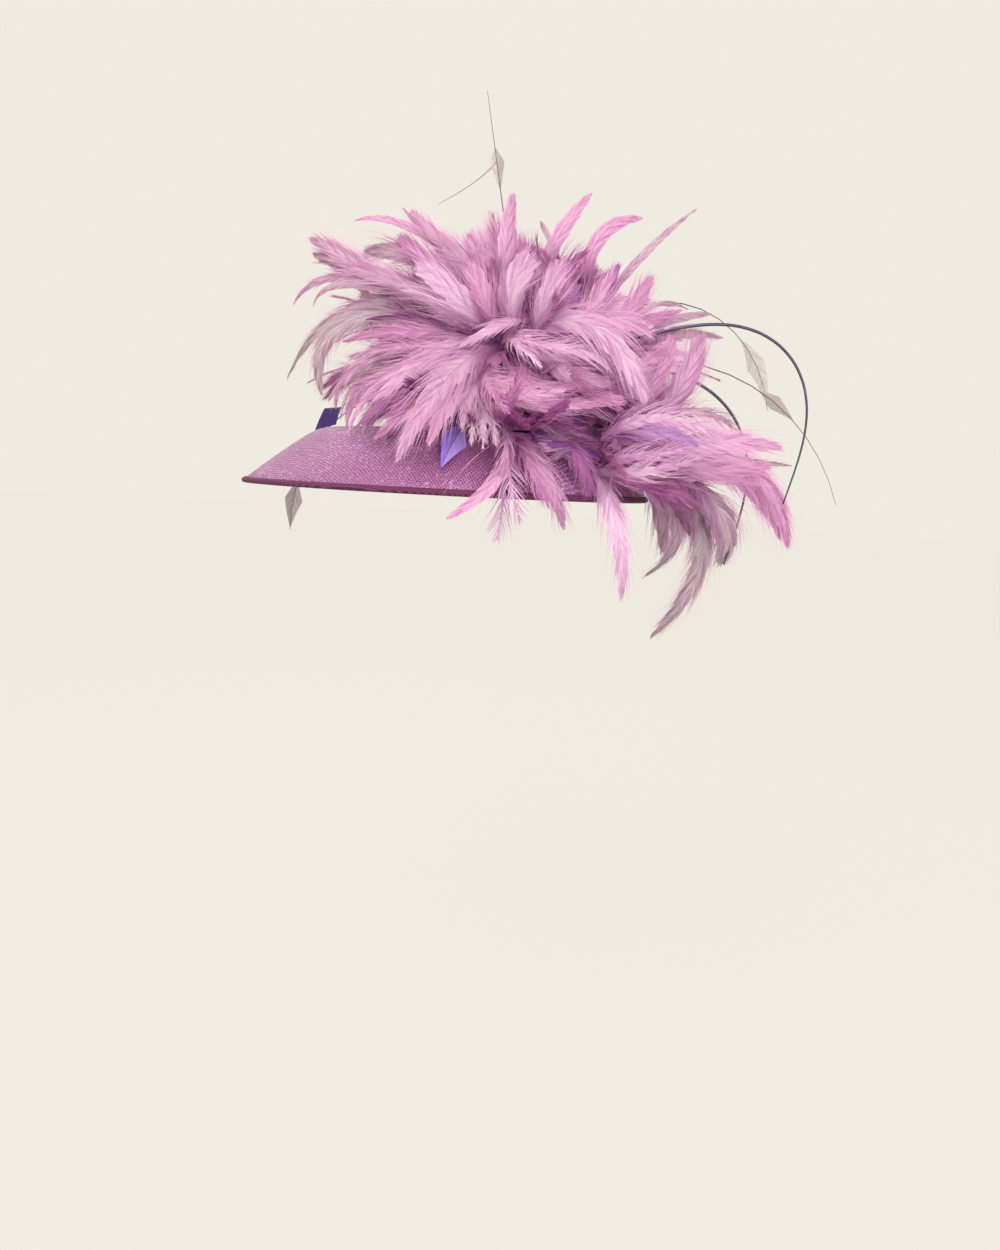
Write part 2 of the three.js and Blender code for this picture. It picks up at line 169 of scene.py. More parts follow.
def add_node(tree, kind, settings=None, **inputs):
    """Adds a node. Inputs are named, with _ for a space, or numbered as i0, and are values or outputs."""
    node = tree.nodes.new(kind)
    for name, value in (settings or {}).items():
        setattr(node, name, value)
    for name, value in inputs.items():
        key = int(name[1:]) if name[0] == "i" and name[1:].isdigit() else name.replace("_", " ")
        socket = node.inputs[key]
        if isinstance(value, bpy.types.NodeSocket):
            tree.links.new(value, socket)
        else:
            socket.default_value = value
    return node


def new_material(name):
    material = bpy.data.materials.new(name)
    material.use_nodes = True
    material.node_tree.nodes.clear()
    return material, material.node_tree


def set_surface(tree, shader):
    add_node(tree, "ShaderNodeOutputMaterial", Surface=shader.outputs[0])


def principled(tree, colour, roughness, **more):
    return add_node(tree, "ShaderNodeBsdfPrincipled", Base_Color=colour, Roughness=roughness, **more)


def ramp(tree, factor, stops):
    node = add_node(tree, "ShaderNodeValToRGB", Fac=factor)
    elements = node.color_ramp.elements
    while len(elements) < len(stops):
        elements.new(0.5)
    for element, (position, colour) in zip(elements, stops):
        element.position = position
        element.color = colour
    return node.outputs["Color"]


def object_place(tree):
    return add_node(tree, "ShaderNodeTexCoord").outputs["Object"]


def turned_place(tree, place, degrees):
    node = add_node(tree, "ShaderNodeMapping", Vector=place, Rotation=(0, 0, math.radians(degrees)))
    return node.outputs["Vector"]


def noise(tree, place, scale, detail, **more):
    node = add_node(tree, "ShaderNodeTexNoise", Vector=place, Scale=scale, Detail=detail, **more)
    return node.outputs["Fac"]


def thread_bands(tree, place, axis, thread, **more):
    """Waves with a crest at each thread, which are that many metres apart."""
    settings = {"wave_type": "BANDS", "bands_direction": axis}
    scale = 2 * math.pi / 20 / thread
    node = add_node(tree, "ShaderNodeTexWave", settings, Vector=place, Scale=scale, **more)
    return node.outputs["Fac"]


def combined(tree, operation, first, second):
    node = add_node(tree, "ShaderNodeMath", {"operation": operation}, i0=first, i1=second)
    return node.outputs[0]


def mixed(tree, blend, amount, first, second):
    settings = {"data_type": "RGBA", "blend_type": blend}
    node = add_node(tree, "ShaderNodeMix", settings, Factor=amount, A=first, B=second)
    return node.outputs["Result"]


def tinted(tree, colour, tint):
    return mixed(tree, "MULTIPLY", 1.0, colour, tint)


def bumped(tree, strength, distance, height, **more):
    node = add_node(tree, "ShaderNodeBump", Strength=strength, Distance=distance, Height=height, **more)
    return node.outputs[0]


black = (0, 0, 0, 1)
white = (1, 1, 1, 1)


def grey(level):
    return (level, level, level, 1)


def straw_cloth():
    """Dyed sinamay: abaca threads woven open and stiffened with size, so each thread has a dull gleam;
    lilac specks of painted glint are mixed into the colour in patches.
    """
    material, tree = new_material("dyed sinamay cloth")
    thread = 0.0019  # metres between threads, a little coarser than the real 1.3 mm so that they show
    place = object_place(tree)
    weave = turned_place(tree, place, 4)
    waver = {"Distortion": 2.6, "Detail": 2.0, "Detail_Scale": 0.5, "Detail_Roughness": 0.65}
    warp, weft = [thread_bands(tree, weave, axis, thread, **waver) for axis in ("X", "Y")]
    over = combined(tree, "MAXIMUM", warp, weft)
    crossing = combined(tree, "MULTIPLY", warp, weft)
    # painted glints: fine noise specks, thicker in patches, mix a pale lilac into the dyed colour where
    # threads would catch the light
    painted_glint_noise = noise(tree, place, 420.0, 3.0, Roughness=0.7)
    patches = noise(tree, place, 14.0, 2.0)
    dyed = ramp(tree, over, [(0.25, rgba("#4c1a41")), (0.6, rgba("#7a3c6b")), (0.95, rgba("#985c88"))])
    painted_glint_patches = ramp(tree, patches, [(0.4, grey(0.35)), (0.62, white)])
    painted_glint_specks = ramp(tree, painted_glint_noise, [(0.52, black), (0.7, grey(0.9))])
    painted_glint_amount = combined(tree, "MULTIPLY", painted_glint_specks, painted_glint_patches)
    painted_glint_colour = mixed(tree, "MIX", painted_glint_amount, dyed, rgba("#c4a6dc"))
    mottled = tinted(tree, painted_glint_colour, ramp(tree, patches, [(0.3, rgba("#e2d6e2")), (0.7, white)]))
    bump = bumped(tree, 0.55, 0.0006, crossing)
    bump = bumped(tree, 0.5, 0.0004, over, Normal=bump)
    sheen = {"Sheen_Weight": 0.04, "Sheen_Roughness": 0.5}
    set_surface(tree, principled(tree, mottled, 0.48, Normal=bump, IOR=1.5, **sheen))
    return material


def edge_binding():
    """A strip of the same cloth cut on the bias and folded over the edge, darker for its two layers."""
    material, tree = new_material("bias-cut sinamay binding")
    thread = 0.0013
    bias = turned_place(tree, object_place(tree), 20)
    wave = thread_bands(tree, bias, "DIAGONAL", thread, Distortion=1.2, Detail=1.0)
    colour = ramp(tree, wave, [(0.2, rgba("#3c1230")), (0.8, rgba("#63294c"))])
    bump = bumped(tree, 0.5, 0.0005, wave)
    set_surface(tree, principled(tree, colour, 0.8, Normal=bump, IOR=1.4))
    return material


def feather(name, gloss, through, root_shade_tint, fine_tint, broad_tint, glow_tint):
    """Dyed keratin barbs: satin, streaked along each barb, thin enough for light to glow through, and
    darker towards the root as painted shade.
    """
    material, tree = new_material(name)
    dye = add_node(tree, "ShaderNodeAttribute", {"attribute_type": "GEOMETRY", "attribute_name": "dye"})
    spot = add_node(tree, "ShaderNodeAttribute", {"attribute_type": "GEOMETRY", "attribute_name": "spot"})
    spot = spot.outputs["Vector"]
    across = add_node(tree, "ShaderNodeSeparateXYZ", Vector=spot).outputs[1]
    streaks = add_node(
        tree, "ShaderNodeVectorMath", {"operation": "MULTIPLY"}, i0=spot, i1=(1.0, 0.35, 1.0),
    ).outputs[0]
    fine = noise(tree, streaks, 0.9, 3.0, Roughness=0.6)
    broad = noise(tree, streaks, 0.13, 2.0, Roughness=0.5)
    # painted shade: the colour darkens towards each feather's root, where the feathers crowd together on
    # the hat
    root_shade = ramp(tree, dye.outputs["Alpha"], [(0.0, rgba(root_shade_tint)), (0.35, white)])
    colour = tinted(tree, dye.outputs["Color"], root_shade)
    colour = tinted(tree, colour, ramp(tree, fine, [(0.3, rgba(fine_tint)), (0.6, white)]))
    colour = tinted(tree, colour, ramp(tree, broad, [(0.35, rgba(broad_tint)), (0.58, white)]))
    outer = ramp(tree, across, [(0.5, black), (1.0, grey(0.35))])
    colour = mixed(tree, "MIX", outer, colour, rgba("#f4cce6"))
    sheen = {"Sheen_Weight": 0.15, "Sheen_Roughness": 0.4, "Sheen_Tint": rgba("#f0b4e0")}
    shader = principled(tree, colour, gloss, Normal=bumped(tree, 0.35, 0.0005, fine), IOR=1.45, **sheen)
    glow = add_node(tree, "ShaderNodeBsdfTranslucent", Color=tinted(tree, colour, rgba(glow_tint)))
    both = add_node(tree, "ShaderNodeMixShader", Fac=through, i1=shader.outputs[0], i2=glow.outputs[0])
    set_surface(tree, both)
    return material


def horn():
    """Bare quill: dyed horn, nearly black, with a satin gloss and fine lengthwise streaks, the palest of
    them violet as painted sheen.
    """
    material, tree = new_material("dyed quill horn")
    streaks_and_painted_sheen = noise(tree, object_place(tree), 90.0, 4.0, Roughness=0.6)
    # the streaks are the horn's own; their palest, violet stop is painted sheen
    colour = ramp(tree, streaks_and_painted_sheen, [(0.35, rgba("#1a1120")), (0.62, rgba("#2e2044")), (0.8, rgba("#54448a"))])
    bump = bumped(tree, 0.2, 0.0003, streaks_and_painted_sheen)
    set_surface(tree, principled(tree, colour, 0.32, Normal=bump, IOR=1.54))
    return material


straw = straw_cloth()
binding = edge_binding()
# the fourth value of each is the tint of the painted shade at the feathers' roots
hackle = feather("dyed hackle barbs", 0.5, 0.52, "#c080bc", "#e6c4e0", "#e2b8de", "#ffe8f8")
trimmed = feather("dyed trimmed barbs", 0.42, 0.3, "#e6dfe8", "#e4dce4", "#f0eaf0", "#ffffff")
quill_horn = horn()


# Shapes swept from rings

def finish_piece(name, mesh, material, replaced):
    mesh.materials.append(material)
    piece = bpy.data.objects.new(name, mesh)
    bpy.context.scene.collection.objects.link(piece)
    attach(piece, "root")
    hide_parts(*replaced)
    return piece


def ring_edges(work, loop):
    return [work.edges.get((loop[i], loop[(i + 1) % len(loop)])) for i in range(len(loop))]


def swept_mesh(name, rings, closed=False, capped=False):
    """Joins rings of points, each extruded from the one before."""
    work = bmesh.new()
    bmesh.ops.create_circle(work, cap_ends=capped, segments=len(rings[0]), radius=1.0)
    work.verts.ensure_lookup_table()
    loop = list(work.verts)
    first = list(work.edges)
    for vertex, point in zip(loop, rings[0]):
        vertex.co = point * metre
    edges = ring_edges(work, loop)
    for ring in rings[1:]:
        made = bmesh.ops.extrude_edge_only(work, edges=edges)["geom"]
        fresh = {v for v in made if isinstance(v, bmesh.types.BMVert)}
        loop = [
            next(e.other_vert(vertex) for e in vertex.link_edges if e.other_vert(vertex) in fresh)
            for vertex in loop
        ]
        for vertex, point in zip(loop, ring):
            vertex.co = point * metre
        edges = ring_edges(work, loop)
    if closed:
        bmesh.ops.bridge_loops(work, edges=first + edges)
    if capped:
        bmesh.ops.contextual_create(work, geom=edges)
    bmesh.ops.remove_doubles(work, verts=work.verts, dist=1e-6)
    bmesh.ops.recalc_face_normals(work, faces=work.faces)
    mesh = bpy.data.meshes.new(name)
    work.to_mesh(mesh)
    work.free()
    mesh.shade_smooth()
    return mesh


round_steps = 180
round_turns = np.linspace(0, 2 * np.pi, round_steps, endpoint=False)
round_bearings = np.degrees(
    np.arctan2(head_width * np.sin(round_turns), head_length * np.cos(round_turns))
)


def ring_at(radius, height):
    radii = np.broadcast_to(radius, round_steps)
    heights = np.broadcast_to(height, round_steps)
    return direction(round_bearings) * radii[:, None] + np.outer(heights, up)


# The brim's and the crown's sections
corner_round = 0.05
brim_shares = [0.0, 0.2, 0.4, 0.5, 0.54, 0.58, 0.62, 0.66, 0.72, 0.8, 0.88, 0.95, 1.0]
collar_foot = 2.0
sloped_wall = brim_wall * 1.25  # upright through the brim, which slopes
crown_foot = 0.4
dome_rings = 13
binding_grip = 1.1  # how far the binding stands off the cloth's middle, past the cloth's face
cloth_edge = rim_radius(round_bearings) - binding_wall - fit_gap


def smooth_fall(across):
    """The brim's section with its corners rounded."""
    spread = np.linspace(-corner_round, corner_round, 9)
    return np.mean([np.interp(across + d, brim_across, brim_fall) for d in spread])


def make_brim():
    inner = oval_radius(round_bearings, -fit_gap - brim_wall)
    outer = inner + brim_wall
    heights = [-brim_drop * (smooth_fall(share) if share < 1 else 1.0) for share in brim_shares]
    top = list(zip(brim_shares, heights))
    rings = [ring_at(outer, collar_height), ring_at(outer, collar_foot)]
    for share, height in top:
        rings.append(ring_at(outer + (cloth_edge - outer) * share, height))
    for share, height in reversed(top):
        rings.append(ring_at(inner + (cloth_edge - inner) * share, height - sloped_wall))
    rings.append(ring_at(inner, collar_height))
    return swept_mesh("brim_cloth", rings, closed=True)


def make_crown():
    rings = [ring_at(oval_radius(round_bearings, wall), crown_foot) for wall in (0.0, crown_wall)]
    for wall, order in ((crown_wall, range(dome_rings)), (0.0, reversed(range(dome_rings)))):
        for i in order:
            out, rise = dome_at(i / (dome_rings - 0.5))
            height = collar_height + (crown_height - crown_wall + wall - collar_height) * rise
            rings.append(ring_at(oval_radius(round_bearings, wall) * out, height))
    return swept_mesh("crown_cloth", rings, closed=True)


def make_binding():
    inner = oval_radius(round_bearings, -fit_gap - brim_wall / 2)
    slope_drop = brim_drop * (brim_fall[4] - brim_fall[3])
    slope_run = (cloth_edge - inner) * (brim_across[4] - brim_across[3])
    span = np.hypot(slope_run, slope_drop)
    along_r, along_z = slope_run / span, -slope_drop / span
    half = brim_wall / 2 + binding_grip
    upper = [(-binding_width, half - 0.7), (1 - binding_width, half), (-0.6, half), (0.7, half * 0.7)]
    lower = [(out, -rise) for out, rise in reversed(upper)]
    rings = []
    for out, rise in upper + [(1.1, 0)] + lower:
        radius = cloth_edge + along_r * out - along_z * rise
        height = -brim_drop - brim_wall / 2 + along_z * out + along_r * rise
        rings.append(ring_at(radius, height))
    return swept_mesh("rim_binding_cloth", rings, closed=True)


finish_piece("brim_cloth", make_brim(), straw, ["brim"])
finish_piece("crown_cloth", make_crown(), straw, ["crown"])
finish_piece("rim_binding_cloth", make_binding(), binding, ["rim_binding"])


# Feathers as joined ribbons

run_steps = 48
to_camera = direction(shown_bearing)
barb_steps = 3
web_steps = (26, 8)
shaft_steps = 12
shaft_sides = 4


def grid_template(steps_along, steps_across):
    """A flat grid: where its vertices are along it, 0 to 1, and across it, -1 to 1, and its faces."""
    work = bmesh.new()
    bmesh.ops.create_grid(work, x_segments=steps_along, y_segments=steps_across, size=0.5)
    work.verts.ensure_lookup_table()
    along = np.array([v.co.x + 0.5 for v in work.verts])
    across = np.array([v.co.y * 2 for v in work.verts])
    faces = np.array([[v.index for v in f.verts] for f in work.faces])
    work.free()
    return along, across, faces


strip_along, strip_edge, strip_faces = grid_template(barb_steps, 1)
web_along, web_across, web_faces = grid_template(*web_steps)
tube_along, tube_round, tube_faces = grid_template(shaft_steps, shaft_sides)
tube_turn = tube_round * math.pi

# How a feather grows: a web of barbs that cling together, and loose barbs round and over it. Web is the
# web's share of the half width, and down the share of the length with downy barbs. Gap and width are of the
# loose barbs and lock is of the tufts that they cling in, in millimetres. Angles are from the shaft.
Kind = namedtuple(
    "Kind", "web down gap width root_angle tip_angle bend lock part ragged camber curl ripple",
)
PLUME = Kind(
    web=0.64, down=0.36, gap=1.05, width=0.54, root_angle=33, tip_angle=10, bend=20,
    lock=6, part=3.8, ragged=0.21, camber=0.3, curl=0.07, ripple=1.0,
)
FLUFF = Kind(
    web=0.42, down=0.8, gap=1.05, width=0.52, root_angle=44, tip_angle=16, bend=26,
    lock=5, part=7.5, ragged=0.34, camber=0.2, curl=0.1, ripple=1.3,
)
BLADE = Kind(
    web=0.95, down=0.08, gap=2.2, width=0.6, root_angle=30, tip_angle=10, bend=10,
    lock=40, part=0.6, ragged=0.08, camber=0.6, curl=0.01, ripple=0.4,
)
HAIRS = Kind(
    web=0.6, down=0.5, gap=3.6, width=0.3, root_angle=38, tip_angle=14, bend=24,
    lock=3, part=11, ragged=0.36, camber=0.1, curl=0.12, ripple=0,
)
SPIKY = Kind(
    web=0.1, down=0.1, gap=3.4, width=0.9, root_angle=34, tip_angle=20, bend=6,
    lock=5, part=4, ragged=0.2, camber=0.1, curl=0.05, ripple=0.2,
)

# The vane's half width along the shaft, as a share of its widest
vane_along = [0.0, 0.08, 0.25, 0.42, 0.6, 0.78, 0.9, 1.0]
vane_half = [0.5, 0.8, 1.0, 0.97, 0.8, 0.5, 0.26, 0.04]

web_start, web_share = 0.02, 0.96  # of the shaft
edge_wave, ripple_wave = 3.2, 5.0  # millimetres from crest to crest
noise_steps = (1, 1.7, 2.9, 4.3, 6.1)
streak_shift = 7.3  # between one feather's streaks and the next one's
far_side = 400  # between the streaks of a feather's two sides
side_locks = 200  # the most tufts on one side of a feather
lock_count = 420
last_barb = 0.985  # of the shaft


class FeatherMesh:
    """Gathers the ribbons of many feathers, then makes one mesh of them."""

    def __init__(self, name):
        self.name = name
        self.points, self.dyes, self.spots, self.faces = [], [], [], []
        self.count = 0
        self.feathers = 0

    def add(self, points, dye, along, strand, across, faces):
        """Along is the share of the shaft, strand the millimetre of it that a barb springs from."""
        shift = np.full(len(points), self.feathers * streak_shift)
        self.points.append(points)
        self.dyes.append(np.column_stack([np.broadcast_to(dye, (len(points), 3)), along]))
        self.spots.append(np.column_stack([strand, across, shift]))
        self.faces.append(faces + self.count)
        self.count += len(points)

    def mesh(self):
        points = np.concatenate(self.points) * metre
        faces = np.concatenate(self.faces)
        mesh = bpy.data.meshes.new(self.name)
        mesh.vertices.add(len(points))
        mesh.vertices.foreach_set("co", points.astype(np.float32).ravel())
        mesh.loops.add(faces.size)
        mesh.loops.foreach_set("vertex_index", faces.astype(np.int32).ravel())
        mesh.polygons.add(len(faces))
        mesh.polygons.foreach_set("loop_start", np.arange(0, faces.size, 4, dtype=np.int32))
        mesh.update(calc_edges=True)
        mesh.shade_smooth()
        dye = mesh.attributes.new("dye", "FLOAT_COLOR", "POINT")
        dye.data.foreach_set("color", np.concatenate(self.dyes).astype(np.float32).ravel())
        spot = mesh.attributes.new("spot", "FLOAT_VECTOR", "POINT")
        spot.data.foreach_set("vector", np.concatenate(self.spots).astype(np.float32).ravel())
        return mesh


def swept_points(root, aim, lift, length, droop=0.0, swirl=0.0, straight=0.0, eased=False):
    """A line that lies along aim and lift on the whole, and turns from root to tip."""
    along = (np.arange(run_steps) + 0.5) / run_steps
    share = np.clip((along - straight) / (1 - straight), 0, 1)
    if eased:
        share = share**3 * (share * (share * 6 - 15) + 10)
    ways = direction(aim + swirl * (share - 0.5), lift - droop * (share - 0.5))
    return root + np.vstack([np.zeros(3), np.cumsum(ways * (length / run_steps), axis=0)])


def picture_point(x, y, near):
    """The point that shows at a pixel of the picture, that far from the crown's axis towards the camera."""
    pitch, roll = math.radians(camera_pitch), math.radians(camera_roll)
    a, b = x - picture_width / 2, y - picture_height / 2
    across = a * math.cos(roll) + b * math.sin(roll)
    rise = (a * math.sin(roll) - b * math.cos(roll)) / camera_focal
    away = camera_far - near
    height = away * (rise * math.cos(pitch) - math.sin(pitch)) / (math.cos(pitch) + rise * math.sin(pitch))
    forward = away * math.cos(pitch) - height * math.sin(pitch)
    sideways = direction(shown_bearing + 90)
    return sideways * (across * forward / camera_focal) + to_camera * near + up * (height + camera_height)


nearest, farthest = 250, -200  # from the crown's axis, towards the camera
brim_depth = 30  # under the brim, where a pixel still counts as on it


def nearness_on_hat(x, y, above):
    """How near the camera the hat's surface is at a pixel, or None where the hat isn't behind it."""
    for near in range(nearest, farthest, -1):
        point = picture_point(x, y, near)
        bearing = math.degrees(math.atan2(point[0], -point[1]))
        radius = math.hypot(point[0], point[1])
        rise = max(0.0, point[2] - collar_height) / (crown_height + above - collar_height)
        inside = (radius / oval_radius(bearing, above)) ** crown_squareness + rise**crown_squareness < 1
        on_brim = radius < rim_radius(bearing) and brim_height(bearing, radius) - brim_depth < point[2]
        if (inside and point[2] > 0) or (on_brim and point[2] < brim_height(bearing, radius) + above):
            return near
    return None


def arched(root, middle, tip):
    """A curve from root to tip that passes through middle halfway."""
    handle = 2 * middle - (root + tip) / 2
    t = np.linspace(0, 1, run_steps + 1)[:, None]
    return root * (1 - t) ** 2 + handle * 2 * t * (1 - t) + tip * t**2


# How far off the hat a plume's root, middle and tip are, how far its middle arches, and how near the camera
# a root is that has no hat behind it
root_above, middle_above, tip_above = 14, 40, 34
plume_arch = 14
loose_root_near = 40


def picture_points(plume):
    """A curve through three pixels: a plume's root on the hat, its middle arched away and its tip."""
    root_near = nearness_on_hat(*plume.root, root_above)
    if root_near is None:
        root_near = loose_root_near
    tip_near = nearness_on_hat(*plume.tip, tip_above)
    tip_near = root_near + plume.near if tip_near is None else tip_near + plume.near
    middle_near = nearness_on_hat(*plume.middle, middle_above)
    level = (root_near + tip_near) / 2 + plume_arch
    middle_near = level if middle_near is None else (level + max(level, middle_near)) / 2
    return arched(
        picture_point(*plume.root, root_near),
        picture_point(*plume.middle, middle_near),
        picture_point(*plume.tip, tip_near),
    )


class Run:
    """The line that a feather's shaft follows, and the way that its vane faces all along it."""

    def __init__(self, points, facing, roll=0.0, twist=0.0):
        strides = np.linalg.norm(np.diff(points, axis=0), axis=1)
        walked = np.concatenate([[0.0], np.cumsum(strides)])
        self.length = walked[-1]
        self.along = walked / self.length
        self.points = points
        self.ways = unit(np.gradient(points, walked, axis=0))
        across = unit(np.cross(facing, unit(points[-1] - points[0])))
        level = unit(across - self.ways * (self.ways @ across)[:, None])
        raised = np.cross(self.ways, level)
        turned = np.radians(roll + twist * self.along)[:, None]
        self.sides = level * np.cos(turned) + raised * np.sin(turned)
        self.backs = np.cross(self.ways, self.sides)

    def place(self, distance, across, rise):
        """World points of places given along the shaft, across it and above it, in millimetres."""
        share = distance / self.length

        def at(values):
            return np.stack([np.interp(share, self.along, values[:, k]) for k in range(3)], axis=-1)

        beyond = np.clip(distance - self.length, 0, None)[:, None] * self.ways[-1]
        offset = at(self.sides) * across[:, None] + at(self.backs) * rise[:, None]
        return at(self.points) + offset + beyond


def add_shaft(mesh, run, thick, dye, thin=0.12):
    radius = thick / 2 * (1 - (1 - thin) * tube_along)
    across, rise = radius * np.cos(tube_turn), radius * np.sin(tube_turn)
    points = clear_of_hat(run.place(tube_along * run.length, across, rise))
    mesh.add(points, dye, tube_along, tube_along * run.length, 0 * tube_along, tube_faces)


def barb_angle(kind, share):
    return kind.root_angle + (kind.tip_angle - kind.root_angle) * share


def cambered(kind, across, half_width):
    """How far the vane bends back from the shaft's level."""
    return kind.camber * across**2 / max(half_width, 2) * 0.5


def smooth_noise(rng, places, spacing):
    """A random wave over places, about 1 high, with that far between its crests."""
    phases = rng.random(len(noise_steps)) * 2 * np.pi
    waves = [np.sin(places / spacing * step + phase) / 1.6 for step, phase in zip(noise_steps, phases)]
    return sum(wave / (1 + 0.4 * n) for n, wave in enumerate(waves)) / 1.6


def add_web(mesh, run, half_width, kind, dye, rng):
    """The part of the vane where barbs cling together, as one thin rippled sheet."""
    share = web_start + web_share * web_along
    distance = share * run.length
    half = half_width * np.interp(share, vane_along, vane_half) * kind.web
    strand = distance + far_side * (web_across > 0)
    edge = 1 + 0.16 * smooth_noise(rng, strand, edge_wave)
    across = web_across * half * np.where(np.abs(web_across) > 0.9, edge, 1)
    lean = np.abs(across) / np.tan(np.radians(barb_angle(kind, share)))
    ripple = kind.ripple * smooth_noise(rng, strand, ripple_wave) * np.abs(web_across)
    rise = ripple - cambered(kind, across, half_width)
    slid = np.minimum(distance + lean, run.length * 0.995)
    points = clear_of_hat(run.place(slid, across, rise))
    mesh.add(points, dye, share, strand, np.abs(across) / half_width, web_faces)


def repeated_faces(count):
    """The faces of that many strips, one after another."""
    return (strip_faces[None] + (np.arange(count) * len(strip_along))[:, None, None]).reshape(-1, 4)


def add_barbs(mesh, run, half_width, kind, dye, rng, bare=0.02):
    """Loose barbs on both sides, each a strip that bends towards the tip."""
    length = run.length
    count = max(6, int(length * (1 - bare) / kind.gap))
    spread = (np.arange(count) + rng.random(count) * 0.7) / count
    starts = np.concatenate([bare + (last_barb - bare) * spread] * 2)
    sign = np.repeat([-1.0, 1.0], count)
    barbs = 2 * count

    # Barbs cling together in locks that close towards their ends and part from one another.
    lock_place = starts * length / kind.lock + rng.random() + sign * 0.25
    lock = np.floor(lock_place).astype(int) + 1 + (sign > 0) * side_locks
    lock_turn = rng.normal(0, kind.part, lock_count)[lock]
    lock_lift = rng.normal(0, 1, lock_count)[lock]
    gather = (lock_place % 1 - 0.5) * kind.part

    down = np.clip(1 - starts / kind.down, 0, 1)
    angle = barb_angle(kind, starts) + lock_turn + gather + rng.normal(0, 1.5, barbs)
    angle = np.radians(np.clip(angle, 7, 80))
    bend = np.minimum(np.radians(kind.bend * (0.7 + 0.6 * rng.random(barbs))), angle * 0.9)
    half = half_width * np.interp(starts, vane_along, vane_half)
    reach = half / np.sin(np.clip(angle - bend / 2, 0.3, 1.5))
    reach *= 1 + rng.normal(0, kind.ragged, barbs).clip(-0.5, 0.6) + 0.25 * down
    reach = np.minimum(reach, (1 - starts) * length + 4)
    width = kind.width * (0.8 + 0.4 * rng.random(barbs)) * (1 - 0.2 * down)

    # From here on there is a row for each barb and a column for each vertex of its strip.
    angle, bend, reach, down = [values[:, None] for values in (angle, bend, reach, down)]
    t = kind.web * 0.5 * (1 - down)
    t = t + (1 - t) * strip_along
    turned = angle - bend * t
    forward = reach * (np.sin(angle) - np.sin(turned)) / bend
    out = reach * (np.cos(turned) - np.cos(angle)) / bend
    wave = np.sin(2 * np.pi * (t * 0.9 + rng.random(barbs)[:, None])) * t * down * reach * 0.09
    forward = forward + wave
    rise = 0.5 - cambered(kind, out, half_width)
    rise = rise + kind.curl * lock_lift[:, None] * reach * t**2 * (0.5 + down)
    rise = rise + rng.normal(0, 0.1, barbs)[:, None] * reach * t * down

    taper = (1 - 0.85 * t**1.6) * width[:, None] / 2 * strip_edge
    side = sign[:, None]
    tilt = np.radians(rng.normal(8, 6, barbs))[:, None] * side
    begins = starts[:, None] * length
    distance = begins + forward - np.sin(turned) * taper * np.cos(tilt)
    across = side * (out + np.cos(turned) * taper * np.cos(tilt))
    rise = rise + taper * np.sin(tilt)
    points = clear_of_hat(run.place(distance.ravel(), across.ravel(), rise.ravel()))
    strand = np.broadcast_to(begins + far_side * (side > 0), t.shape).ravel()
    share = np.broadcast_to(starts[:, None], t.shape).ravel()
    mesh.add(points, dye, share, strand, np.clip(out / half_width, 0, 1.2).ravel(), repeated_faces(barbs))


# Dyes, from the deepest to the palest, and what strays from them
dye_steps = [0.0, 0.25, 0.5, 0.75, 1.0]
dye_hexes = ["#82387a", "#b874ad", "#d6a6c8", "#e2c0d5", "#eedfe8"]
dye_table = np.array([linear(h) for h in dye_hexes])
dusty = np.array(linear("#c4c6bc"))
pale = np.array(linear("#f2c8e4"))
violet = np.array(linear("#a274c4"))


def dye_of(tone, dust=0.0, purple=0.0):
    colour = np.array([np.interp(tone, dye_steps, dye_table[:, k]) for k in range(3)])
    colour = colour + (dusty - colour) * dust
    return colour + (violet - colour) * purple


Spray = namedtuple("Spray", "name bearing seat aim lift spread reach droop tone dust")
SPRAYS = [
    Spray("left_top", -100, 0.36, -138, 20, 42, 0.95, 24, 0.66, 0.22),
    Spray("top_front", -32, 0.22, -20, 58, 44, 0.58, 12, 0.72, 0.12),
    Spray("top_right", 12, 0.38, 35, 38, 38, 0.75, 22, 0.58, 0.12),
    Spray("right_low", -10, 1.62, 34, 0, 24, 0.95, 34, 0.74, 0.05),
    Spray("right_fall", 20, 1.72, 50, -32, 24, 0.8, 66, 0.5, 0.25),
    Spray("front_left", -58, 0.46, -75, 24, 46, 0.55, 24, 0.8, 0.06),
    Spray("left_mid", -83, 0.72, -118, -8, 34, 0.85, 34, 0.6, 0.1),
    Spray("front_low", -47, 1.5, -50, 6, 34, 0.5, 50, 0.4, 0.0),
    Spray("right", 18, 0.72, 34, 8, 36, 0.66, 20, 0.7, 0.06),
    Spray("front_mid", -33, 0.78, -28, 14, 44, 0.5, 24, 0.86, 0.0),
    Spray("back_left", -150, 0.62, -158, 8, 42, 0.82, 40, 0.64, 0.4),
    Spray("back", 150, 0.6, 150, 10, 42, 0.95, 36, 0.6, 0.0),
    Spray("back_right", 85, 0.66, 88, 10, 40, 0.9, 34, 0.6, 0.05),
    Spray("top_back", 150, 0.2, 168, 52, 42, 0.75, 26, 0.7, 0.1),
]

# Plumes that the picture shows one by one, by spray: the pixels of root, middle and tip, how much nearer
# the camera the tip is, the half width in millimetres, the kind, and the dye
STRAND = None  # a plume with no vane, whose half width is its thickness
Plume = namedtuple("Plume", "root middle tip near half kind tone dust purple", defaults=[0.0, 0.0])


def plumes(*rows):
    return [Plume(*row) for row in rows]


